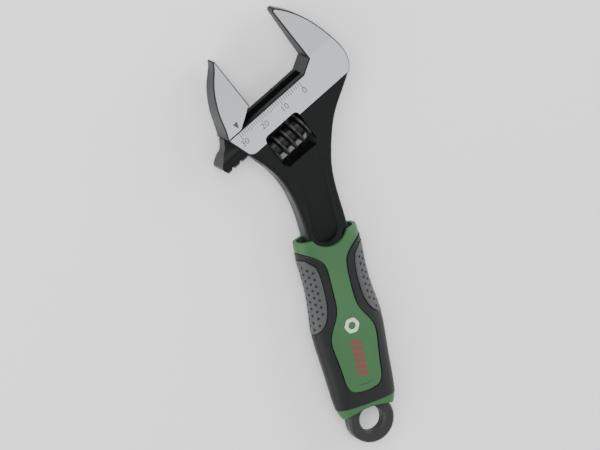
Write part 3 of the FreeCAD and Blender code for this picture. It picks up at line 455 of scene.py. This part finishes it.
def print_ink(name, colour, rough=0.5):
    """Ink or paint filling, a little uneven and worn through in specks."""
    made, tree, shader = new_material(name)
    place = object_place(tree)
    cover = noise(tree, place, 2600.0, 3.0)
    blotch = noise(tree, place, 420.0, 2.0)
    body = tint(tree, cover, shade(colour, 0.85), shade(colour, 1.15))
    body = tint(tree, maths(tree, "MULTIPLY", blotch, 0.35), body, shade(colour, 0.7))
    feed(tree, shader, "Base Color", body)
    feed(tree, shader, "Roughness", spread(tree, cover, rough - 0.08, rough + 0.1))
    feed(tree, shader, "Normal", bump(tree, cover, 0.01 * MM, 0.4))
    return made


def scale_ink():
    """The scale's ink, shared by its marks and its numerals."""
    return bpy.data.materials.get("scale_ink") or print_ink("scale_ink", (0.05, 0.05, 0.06), 0.55)


# Mesh helpers

def new_piece(name, mesh, material=None, smooth=None):
    """A linked object at the origin; smooth is the angle over which an edge stays sharp."""
    mesh.name = name
    piece = bpy.data.objects.new(name, mesh)
    bpy.context.scene.collection.objects.link(piece)
    if material is not None:
        dress(piece, material)
    if smooth is not None:
        mesh.polygons.foreach_set("use_smooth", [True] * len(mesh.polygons))
        mesh.set_sharp_from_angle(angle=smooth)
    return piece


def solid_copy(node):
    """A CAD node's mesh with its loose triangles joined."""
    mesh = frame["nodes"][node].data.copy()
    work = bmesh.new()
    work.from_mesh(mesh)
    bmesh.ops.remove_doubles(work, verts=work.verts, dist=WELD)
    work.to_mesh(mesh)
    work.free()
    mesh.materials.clear()
    return mesh


def settled(piece):
    """The piece's mesh with its modifiers applied, as a mesh of its own."""
    bpy.context.view_layer.update()
    graph = bpy.context.evaluated_depsgraph_get()
    mesh = bpy.data.meshes.new_from_object(piece.evaluated_get(graph), depsgraph=graph)
    bpy.data.objects.remove(piece)
    return mesh


def tree_socket(group, name, kind, value=None, side="INPUT"):
    socket = group.interface.new_socket(name=name, in_out=side, socket_type=kind)
    if value is not None:
        socket.default_value = value
    return socket


def new_tree(name, sizes):
    """A geometry node tree with its geometry sockets and one named input for each size."""
    group = bpy.data.node_groups.new(name, "GeometryNodeTree")
    tree_socket(group, "Geometry", "NodeSocketGeometry")
    for label, kind, value in sizes:
        tree_socket(group, label, kind, value)
    tree_socket(group, "Geometry", "NodeSocketGeometry", side="OUTPUT")
    return group, group.nodes.new("NodeGroupInput").outputs, group.nodes.new("NodeGroupOutput")


def run_tree(group, mesh, values):
    """The mesh that the tree makes from another, with its named inputs set."""
    holder = bpy.data.objects.new("making_" + group.name, mesh)
    bpy.context.scene.collection.objects.link(holder)
    modifier = holder.modifiers.new("make", "NODES")
    modifier.node_group = group
    for item in group.interface.items_tree:
        if item.in_out == "INPUT" and item.name in values:
            modifier[item.identifier] = values[item.name]
    return settled(holder)


def repeat(group, result, points, instance, finish, placing=None):
    """Ends a tree with a copy on each point, made real and given its finish."""
    inputs = {"Points": points, "Instance": instance}
    inputs.update(placing or {})
    copies = new_node(group, "GeometryNodeInstanceOnPoints", inputs).outputs[0]
    real = new_node(group, "GeometryNodeRealizeInstances", {0: copies}).outputs[0]
    dressed = new_node(group, "GeometryNodeSetMaterial", {"Geometry": real, "Material": finish})
    group.links.new(dressed.outputs[0], result.inputs[0])


def check_mesh(mesh, name):
    if not len(mesh.polygons):
        raise RuntimeError("%s came out empty" % name)


def on_panel(mesh, target):
    """Lays a thin flat drawing on the panel: each point keeps its height over the surface below it."""
    surface = BVHTree.FromObject(target, bpy.context.evaluated_depsgraph_get())
    for vertex in mesh.vertices:
        hit = surface.ray_cast(Vector((vertex.co.x, vertex.co.y, ABOVE_PANEL)), -UP)[0]
        if hit is None:
            raise RuntimeError("%s reaches past the panel" % mesh.name)
        vertex.co.z += hit.z


def flat_plate(name, outline, low, high, cell=None, holes=()):
    """A thin closed plate between two heights; cell is the size of the squares that it is cut into."""
    work = bmesh.new()
    loops = []
    for points in (outline,) + tuple(holes):
        corners = [work.verts.new((x, y, low)) for x, y in points]
        loops += [work.edges.new((corners[i - 1], corners[i])) for i in range(len(corners))]
    bmesh.ops.triangle_fill(work, edges=loops, use_beauty=True)
    if cell:
        xs = [x for x, y in outline]
        ys = [y for x, y in outline]
        for axis, values in ((0, xs), (1, ys)):
            steps = int((max(values) - min(values)) / cell)
            for number in range(1, steps + 1):
                spot = [0, 0, 0]
                spot[axis] = min(values) + number * cell
                normal = [0, 0, 0]
                normal[axis] = 1
                parts = work.verts[:] + work.edges[:] + work.faces[:]
                bmesh.ops.bisect_plane(work, geom=parts, plane_co=spot, plane_no=normal, dist=1e-7)
    raised = bmesh.ops.extrude_face_region(work, geom=work.faces[:])
    for item in raised["geom"]:
        if isinstance(item, bmesh.types.BMVert):
            item.co.z = high
    bmesh.ops.recalc_face_normals(work, faces=work.faces[:])
    mesh = bpy.data.meshes.new(name)
    work.to_mesh(mesh)
    work.free()
    return mesh


def settings():
    scene = bpy.context.scene
    return scene.wrench_scale, scene.wrench_grip, scene.wrench_finishes, scene.wrench_stage


# Operators

class WRENCH_OT_forging_finish(bpy.types.Operator):
    """Give the body and the sliding jaw their black forged and ground bright finishes"""
    bl_idname = "wrench.forging_finish"
    bl_label = "Forging finish"

    def execute(self, context):
        colours = settings()[2]
        dress(frame["nodes"]["wrench_body"], forged_steel("body_finish", colours))
        dress(frame["nodes"]["sliding_jaw"], forged_steel("jaw_finish", colours))
        return {"FINISHED"}


class WRENCH_OT_worm_finish(bpy.types.Operator):
    """Give the worm, its pin and its spring their steel finishes"""
    bl_idname = "wrench.worm_finish"
    bl_label = "Worm finish"

    def execute(self, context):
        dress(frame["nodes"]["worm"], blackened_worm(settings()[2]))
        steel = turned_steel()
        for node in ("worm_pin", "worm_spring"):
            dress(frame["nodes"][node], steel)
        return {"FINISHED"}


class WRENCH_OT_handle_finish(bpy.types.Operator):
    """Give the loop, the green moulding and the soft skin their moulded finishes"""
    bl_idname = "wrench.handle_finish"
    bl_label = "Handle finish"

    def execute(self, context):
        colours = settings()[2]
        loop = moulded("loop_plastic", colours.loop, 0.16 * MM, 0.02 * MM, 0.46, 0.28, seam=True)
        green = moulded("green_plastic", colours.green, 0.20 * MM, 0.012 * MM, 0.42, 0.2)
        skin = moulded("soft_skin", colours.soft, 0.14 * MM, 0.02 * MM, 0.50, 0.2, sheen=0.1, seam=True)
        for node, finish in (("handle_liner", loop), ("handle_core", green), ("grip_overmould", skin)):
            dress(frame["nodes"][node], finish)
        return {"FINISHED"}


class WRENCH_OT_scale_marks(bpy.types.Operator):
    """Add the filled marks of the jaw scale, 1 mm apart"""
    bl_idname = "wrench.scale_marks"
    bl_label = "Scale marks"

    def execute(self, context):
        sizes = settings()[0]
        ink = scale_ink()
        group, given, result = new_tree("scale_marks", [
            ("Count", "NodeSocketInt", 31), ("Pitch", "NodeSocketFloat", MM),
            ("Width", "NodeSocketFloat", MM), ("Short", "NodeSocketFloat", MM),
            ("Longer", "NodeSocketFloat", MM), ("Thickness", "NodeSocketFloat", MM),
            ("Ink", "NodeSocketMaterial", None)])
        backwards = maths(group, "MULTIPLY", given["Pitch"], -1.0)
        step = new_node(group, "ShaderNodeCombineXYZ", {"X": backwards}).outputs[0]
        row = new_node(group, "GeometryNodeMeshLine", {"Count": given["Count"], "Offset": step}).outputs[0]
        index = new_node(group, "GeometryNodeInputIndex").outputs[0]
        fifth = maths(group, "LESS_THAN", maths(group, "MODULO", index, 5.0), 0.5)
        tenth = maths(group, "LESS_THAN", maths(group, "MODULO", index, 10.0), 0.5)
        extra = maths(group, "MULTIPLY", maths(group, "ADD", fifth, tenth), given["Longer"])
        length = maths(group, "ADD", given["Short"], extra)
        down = maths(group, "MULTIPLY", length, -0.5)
        place = new_node(group, "ShaderNodeCombineXYZ", {"Y": down}).outputs[0]
        moved = new_node(group, "GeometryNodeSetPosition", {"Geometry": row, "Offset": place}).outputs[0]
        bar = new_node(group, "GeometryNodeMeshCube", {"Size": (1.0, 1.0, 1.0)}).outputs[0]
        size = new_node(group, "ShaderNodeCombineXYZ",
                        {"X": given["Width"], "Y": length, "Z": given["Thickness"]}).outputs[0]
        repeat(group, result, moved, bar, given["Ink"], {"Scale": size})
        mesh = run_tree(group, bpy.data.meshes.new("scale_row"), {
            "Count": sizes.count, "Pitch": sizes.pitch, "Width": sizes.width, "Short": sizes.short,
            "Longer": sizes.longer, "Thickness": sizes.lift, "Ink": ink})
        check_mesh(mesh, "scale_marks")
        mesh.transform(head_matrix(sizes.zero, sizes.top, HALF_HEAD + sizes.lift / 2 - MARK_SINK))
        piece = new_piece("scale_marks", mesh)
        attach(piece, "handle_and_head")
        return {"FINISHED"}


class WRENCH_OT_scale_numerals(bpy.types.Operator):
    """Add the numerals 0, 10, 20 and 30 beside the scale's long marks"""
    bl_idname = "wrench.scale_numerals"
    bl_label = "Scale numerals"

    def execute(self, context):
        sizes = settings()[0]
        ink = scale_ink()
        work = bmesh.new()
        for number in range(0, sizes.count, 10):
            text = bpy.data.curves.new("numeral", "FONT")
            text.body = str(number)
            text.size = sizes.digits * FONT_SIZE
            text.align_x = "CENTER"
            text.align_y = "CENTER"
            text.extrude = sizes.lift / 2
            text.resolution_u = 5
            holder = bpy.data.objects.new("numeral", text)
            bpy.context.scene.collection.objects.link(holder)
            mesh = settled(holder)
            height = HALF_HEAD + sizes.lift / 2 - MARK_SINK
            mesh.transform(head_matrix(sizes.zero - number * sizes.pitch, sizes.digit_place, height))
            work.from_mesh(mesh)
        bmesh.ops.remove_doubles(work, verts=work.verts, dist=WELD)
        bmesh.ops.recalc_face_normals(work, faces=work.faces[:])
        mesh = bpy.data.meshes.new("scale_numerals")
        work.to_mesh(mesh)
        work.free()
        check_mesh(mesh, "scale_numerals")
        piece = new_piece("scale_numerals", mesh, ink)
        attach(piece, "handle_and_head")
        return {"FINISHED"}


class WRENCH_OT_jaw_pointer(bpy.types.Operator):
    """Add the triangle on the sliding jaw that reads the scale"""
    bl_idname = "wrench.jaw_pointer"
    bl_label = "Jaw pointer"

    def execute(self, context):
        ink = print_ink("pointer_ink", (0.045, 0.047, 0.06), 0.5)
        lift = settings()[0].lift
        place, half, tall = -19.6 * MM, 1.1 * MM, 2.9 * MM
        tip = SHOULDER + 0.9 * MM
        outline = [(place, tip), (place + half, tip + tall), (place - half, tip + tall)]
        mesh = flat_plate("jaw_pointer", outline, -MARK_SINK, lift)
        mesh.transform(head_matrix(0.0, 0.0, HALF_HEAD))
        piece = new_piece("jaw_pointer", mesh, ink)
        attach(piece, "jaw")
        return {"FINISHED"}


class WRENCH_OT_side_pads(bpy.types.Operator):
    """Cut the staggered dimples into the two grey side pads"""
    bl_idname = "wrench.side_pads"
    bl_label = "Side pads"

    # Rays start this far out from the grip's middle line, and edges folded more than the angle are the rim.
    REACH = 30 * MM
    RIM_ANGLE = 0.7
    FLATTENED = (1.0, 1.0, 0.62)
    MIDDLE_LINE = 7.5 * MM
    FIRST_ROW = 0.4 * MM

    def dimple_tree(self):
        group, given, result = new_tree("pad_dimples", [
            ("Rows", "NodeSocketInt", 11), ("Columns", "NodeSocketInt", 9),
            ("Pitch", "NodeSocketFloat", MM), ("Turn", "NodeSocketFloat", 0.4),
            ("Start", "NodeSocketFloat", 0.0), ("Centre", "NodeSocketFloat", 0.0),
            ("Side", "NodeSocketFloat", 1.0), ("Radius", "NodeSocketFloat", MM),
            ("Margin", "NodeSocketFloat", MM), ("Finish", "NodeSocketMaterial", None)])
        pad = given["Geometry"]
        total = maths(group, "MULTIPLY", given["Rows"], given["Columns"])
        points = new_node(group, "GeometryNodeMeshLine", {"Count": total})
        index = new_node(group, "GeometryNodeInputIndex").outputs[0]
        column = maths(group, "FLOORED_MODULO", index, given["Columns"])
        share = maths(group, "DIVIDE", maths(group, "ADD", index, 0.5), given["Columns"])
        stagger = maths(group, "MULTIPLY", maths(group, "FLOORED_MODULO", column, 2.0), 0.5)
        steps = maths(group, "ADD", maths(group, "FLOOR", share), stagger)
        along = maths(group, "MULTIPLY_ADD", steps, given["Pitch"], given["Start"])
        middle = maths(group, "MULTIPLY", maths(group, "SUBTRACT", given["Columns"], 1.0), 0.5)
        angle = maths(group, "MULTIPLY", maths(group, "SUBTRACT", column, middle), given["Turn"])
        out = maths(group, "MULTIPLY", maths(group, "COSINE", angle), given["Side"])
        rise = maths(group, "SINE", angle)
        ray = new_node(group, "ShaderNodeCombineXYZ", {"Y": out, "Z": rise}).outputs[0]
        axis = maths(group, "MULTIPLY", given["Centre"], given["Side"])
        heart = new_node(group, "ShaderNodeCombineXYZ", {"X": along, "Y": axis}).outputs[0]
        start = vector_maths(group, "ADD", heart, scaled(group, ray, self.REACH))
        placed = new_node(group, "GeometryNodeSetPosition",
                          {"Geometry": points.outputs[0], "Position": start}).outputs[0]
        cast = new_node(group, "GeometryNodeRaycast", {
            "Target Geometry": pad, "Source Position": start, "Ray Direction": scaled(group, ray, -1.0),
            "Ray Length": 2 * self.REACH}).outputs
        noted = stored(group, placed, "outward", cast["Hit Normal"])
        noted = stored(group, noted, "spot", cast["Hit Position"])
        lost = new_node(group, "FunctionNodeBooleanMath", {0: cast["Is Hit"]}, operation="NOT").outputs[0]
        found = new_node(group, "GeometryNodeDeleteGeometry", {"Geometry": noted, "Selection": lost},
                         domain="POINT").outputs[0]
        landed = new_node(group, "GeometryNodeSetPosition",
                          {"Geometry": found, "Position": attribute(group, "spot")}).outputs[0]
        fold = new_node(group, "GeometryNodeInputMeshEdgeAngle").outputs["Unsigned Angle"]
        sharp = maths(group, "GREATER_THAN", fold, self.RIM_ANGLE)
        rim = new_node(group, "GeometryNodeSeparateGeometry", {"Geometry": pad, "Selection": sharp},
                       domain="EDGE").outputs[0]
        near = new_node(group, "GeometryNodeProximity", {"Geometry": rim}, target_element="EDGES")
        tight = maths(group, "LESS_THAN", near.outputs["Distance"], given["Margin"])
        clear = new_node(group, "GeometryNodeDeleteGeometry", {"Geometry": landed, "Selection": tight},
                         domain="POINT").outputs[0]
        turned = new_node(group, "FunctionNodeAlignRotationToVector",
                          {"Vector": attribute(group, "outward")}, axis="Z").outputs[0]
        ball = new_node(group, "GeometryNodeMeshIcoSphere",
                        {"Radius": given["Radius"], "Subdivisions": 2}).outputs[0]
        repeat(group, result, clear, ball, given["Finish"], {"Rotation": turned, "Scale": self.FLATTENED})
        return group

    def execute(self, context):
        sizes, colours = settings()[1:3]
        grey = moulded("pad_rubber", colours.pad, 0.15 * MM, 0.02 * MM, 0.52, 0.22, sheen=0.08)
        # Painted shade: the dimples' walls take the pad rubber at a third of its colour, for the shade
        # inside the hollows.
        shadow = moulded("dimple_painted_shade", shade(colours.pad, 0.30), 0.15 * MM, 0.02 * MM, 0.6, 0.2)
        group = self.dimple_tree()
        for node, side in (("grip_pad_left", 1.0), ("grip_pad_right", -1.0)):
            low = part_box(node)[0]
            pad_mesh = solid_copy(node)
            cutters = run_tree(group, pad_mesh.copy(), {
                "Rows": sizes.rows, "Columns": sizes.columns, "Pitch": sizes.pitch, "Turn": sizes.turn,
                "Start": low.x + self.FIRST_ROW, "Centre": self.MIDDLE_LINE, "Side": side,
                "Radius": sizes.radius, "Margin": sizes.margin, "Finish": shadow})
            check_mesh(cutters, "dimples")
            knife = new_piece("dimple_cutter", cutters)
            blank = new_piece("pad_blank", pad_mesh, grey)
            cut = blank.modifiers.new("dimples", "BOOLEAN")
            cut.operation = "DIFFERENCE"
            cut.solver = "EXACT"
            cut.material_mode = "TRANSFER"
            cut.object = knife
            mesh = settled(blank)
            bpy.data.objects.remove(knife)
            check_mesh(mesh, node)
            piece = new_piece("dimpled_" + node[5:], mesh, smooth=math.radians(35.0))
            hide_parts(node)
            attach(piece, "handle_and_head")
        return {"FINISHED"}


class WRENCH_OT_nut_mark(bpy.types.Operator):
    """Print the plain nut symbol on the green panel"""
    bl_idname = "wrench.nut_mark"
    bl_label = "Nut mark"

    def execute(self, context):
        sizes, colours = settings()[1:3]
        place = LOOP_END + 47.9 * MM
        radius = sizes.nut_size
        blunt = 0.12
        outline = []
        for number in range(6):
            angle = math.radians(60.0 * number + 30.0)
            for lean in (-blunt, blunt):
                outline.append((place + radius * math.cos(angle + lean), radius * math.sin(angle + lean)))
        bore = []
        steps = 32
        for number in range(steps):
            angle = 2 * math.pi * number / steps
            bore.append((place + 0.5 * radius * math.cos(angle), 0.5 * radius * math.sin(angle)))
        mesh = flat_plate("nut_mark", outline, -PRINT_SINK, PRINT_LIFT, cell=0.75 * MM, holes=[bore])
        on_panel(mesh, frame["nodes"]["handle_core"])
        piece = new_piece("nut_mark", mesh, print_ink("pale_print", colours.pale))
        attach(piece, "handle_and_head")
        return {"FINISHED"}


class WRENCH_OT_red_flash(bpy.types.Operator):
    """Print the row of slanted red stripes on the green panel"""
    bl_idname = "wrench.red_flash"
    bl_label = "Red flash"

    def execute(self, context):
        sizes, colours = settings()[1:3]
        ink = print_ink("red_print", colours.red)
        group, given, result = new_tree("red_flash", [
            ("Count", "NodeSocketInt", 6), ("Pitch", "NodeSocketFloat", MM),
            ("Ink", "NodeSocketMaterial", None)])
        step = new_node(group, "ShaderNodeCombineXYZ", {"X": given["Pitch"]}).outputs[0]
        row = new_node(group, "GeometryNodeMeshLine", {"Count": given["Count"], "Offset": step}).outputs[0]
        repeat(group, result, row, given["Geometry"], given["Ink"])
        wide, half, slant = sizes.stripe_width, sizes.stripe_length / 2, 0.5 * MM
        outline = [(-slant, -half), (wide - slant, -half), (wide + slant, half), (slant, half)]
        stripe = flat_plate("red_stripe", outline, -PRINT_SINK, PRINT_LIFT, cell=0.6 * MM)
        mesh = run_tree(group, stripe, {"Count": sizes.stripes, "Pitch": sizes.stripe_pitch, "Ink": ink})
        check_mesh(mesh, "red_flash")
        mesh.transform(Matrix.Translation((LOOP_END + 27.9 * MM, 0, 0)))
        on_panel(mesh, frame["nodes"]["handle_core"])
        piece = new_piece("red_flash", mesh)
        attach(piece, "handle_and_head")
        return {"FINISHED"}


class WRENCH_OT_panel_line(bpy.types.Operator):
    """Add the short dark line across the lower end of the green panel"""
    bl_idname = "wrench.panel_line"
    bl_label = "Panel line"

    def execute(self, context):
        colours = settings()[2]
        start = LOOP_END + 24.0 * MM
        half, thick, bow = 3.6 * MM, 0.32 * MM, 0.9 * MM
        steps = 12
        near = []
        far = []
        for number in range(steps + 1):
            across = -half + 2 * half * number / steps
            fall = (across / half) ** 2
            edge = start + bow * fall
            near.append((edge, across))
            far.append((edge + thick * (1.05 - fall), across))
        mesh = flat_plate("panel_line", near + far[::-1], -PRINT_SINK, 0.02 * MM)
        on_panel(mesh, frame["nodes"]["handle_core"])
        piece = new_piece("panel_line", mesh, print_ink("line_shadow", shade(colours.green, 0.28), 0.7))
        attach(piece, "handle_and_head")
        return {"FINISHED"}


class WRENCH_OT_stage(bpy.types.Operator):
    """Add the floor, the soft lights and the camera"""
    bl_idname = "wrench.stage"
    bl_label = "Stage"

    def add_floor(self):
        low = CAD_BOX[0][2] - FLOOR_GAP
        corners = [(FLOOR_REACH * x, FLOOR_REACH * y, low) for x, y in ((-1, -1), (1, -1), (1, 1), (-1, 1))]
        mesh = bpy.data.meshes.new("floor")
        mesh.from_pydata(corners, [], [(0, 1, 2, 3)])
        made, tree, shader = new_material("pale_floor")
        mottle = noise(tree, object_place(tree), 6.0, 2.0)
        feed(tree, shader, "Base Color", tint(tree, mottle, (0.89, 0.89, 0.893), (0.92, 0.92, 0.923)))
        shader.inputs["Roughness"].default_value = 0.9
        new_piece("floor", mesh, made)

    def add_light(self, name, place, size, power):
        lamp = bpy.data.lights.new(name, "AREA")
        lamp.shape = "RECTANGLE"
        lamp.size, lamp.size_y = size
        lamp.energy = power
        holder = bpy.data.objects.new(name, lamp)
        bpy.context.scene.collection.objects.link(holder)
        aim = Vector(settings()[3].aim)
        holder.location = aim + Vector(place)
        holder.rotation_euler = (-Vector(place)).to_track_quat("-Z", "Y").to_euler()

    def add_camera(self, sizes):
        lens = bpy.data.cameras.new("camera")
        lens.lens = sizes.lens
        lens.sensor_width = 36.0
        lens.clip_start = 0.05
        lens.clip_end = 20.0
        holder = bpy.data.objects.new("camera", lens)
        bpy.context.scene.collection.objects.link(holder)
        away = Vector((math.cos(sizes.elevation) * math.cos(sizes.azimuth),
                       math.cos(sizes.elevation) * math.sin(sizes.azimuth), math.sin(sizes.elevation)))
        level = UP.cross(away).normalized()
        right = math.cos(sizes.roll) * level + math.sin(sizes.roll) * away.cross(level)
        top = away.cross(right)
        place = Vector(sizes.aim) + sizes.distance * away
        holder.matrix_world = Matrix((
            (right.x, top.x, away.x, place.x),
            (right.y, top.y, away.y, place.y),
            (right.z, top.z, away.z, place.z),
            (0, 0, 0, 1),
        ))
        bpy.context.scene.camera = holder

    def execute(self, context):
        sizes = settings()[3]
        self.add_floor()
        world = bpy.data.worlds.new("studio")
        world.use_nodes = True
        tree = world.node_tree
        sky = tree.nodes["Background"]
        sky.inputs["Color"].default_value = (1.0, 1.0, 1.0, 1.0)
        outward = new_node(tree, "ShaderNodeTexCoord").outputs["Generated"]
        height = new_node(tree, "ShaderNodeSeparateXYZ", {0: outward}).outputs["Z"]
        tree.links.new(spread(tree, height, sizes.glow, sizes.ceiling), sky.inputs["Strength"])
        bpy.context.scene.world = world
        for name, place, size, power in LIGHTS:
            self.add_light(name, place, size, power)
        self.add_camera(sizes)
        return {"FINISHED"}


class WRENCH_PT_panel(bpy.types.Panel):
    """Lists the wrench's pieces and its stage"""
    bl_label = "Adjustable wrench"
    bl_idname = "WRENCH_PT_panel"
    bl_space_type = "VIEW_3D"
    bl_region_type = "UI"
    bl_category = "Wrench"

    def draw(self, context):
        for operator in OPERATORS:
            self.layout.operator(operator.bl_idname)
        for name in PROPERTY_GROUPS:
            box = self.layout.box()
            group = getattr(context.scene, name)
            for field in group.bl_rna.properties:
                if field.identifier not in ("rna_type", "name"):
                    box.prop(group, field.identifier)


# Each light's name, its place from the aim and its two sides in metres, and its power in watts.
LIGHTS = (
    ("key_light", (0.42, 0.32, 0.79), (0.7, 0.7), 8.0),
    ("left_light", (-0.15, 0.85, 0.42), (1.0, 0.5), 6.0),
    ("right_light", (0.2, -0.85, 0.35), (0.9, 0.4), 7.0),
    ("far_light", (-0.31, -0.32, 0.90), (0.5, 0.5), 1.7),
)
OPERATORS = (
    WRENCH_OT_forging_finish,
    WRENCH_OT_worm_finish,
    WRENCH_OT_handle_finish,
    WRENCH_OT_side_pads,
    WRENCH_OT_scale_marks,
    WRENCH_OT_scale_numerals,
    WRENCH_OT_jaw_pointer,
    WRENCH_OT_nut_mark,
    WRENCH_OT_red_flash,
    WRENCH_OT_panel_line,
    WRENCH_OT_stage,
)
PROPERTY_GROUPS = {
    "wrench_scale": WrenchScaleSizes,
    "wrench_grip": WrenchGripSizes,
    "wrench_finishes": WrenchFinishes,
    "wrench_stage": WrenchStageSizes,
}


def register():
    for name, group in PROPERTY_GROUPS.items():
        bpy.utils.register_class(group)
        setattr(bpy.types.Scene, name, PointerProperty(type=group))
    for operator in OPERATORS:
        bpy.utils.register_class(operator)
    bpy.utils.register_class(WRENCH_PT_panel)


def unregister():
    bpy.utils.unregister_class(WRENCH_PT_panel)
    for operator in reversed(OPERATORS):
        bpy.utils.unregister_class(operator)
    for name, group in PROPERTY_GROUPS.items():
        delattr(bpy.types.Scene, name)
        bpy.utils.unregister_class(group)


def main():
    register()
    for operator in OPERATORS:
        group, name = operator.bl_idname.split(".")
        getattr(getattr(bpy.ops, group), name)()


if __name__ == "__main__":
    main()
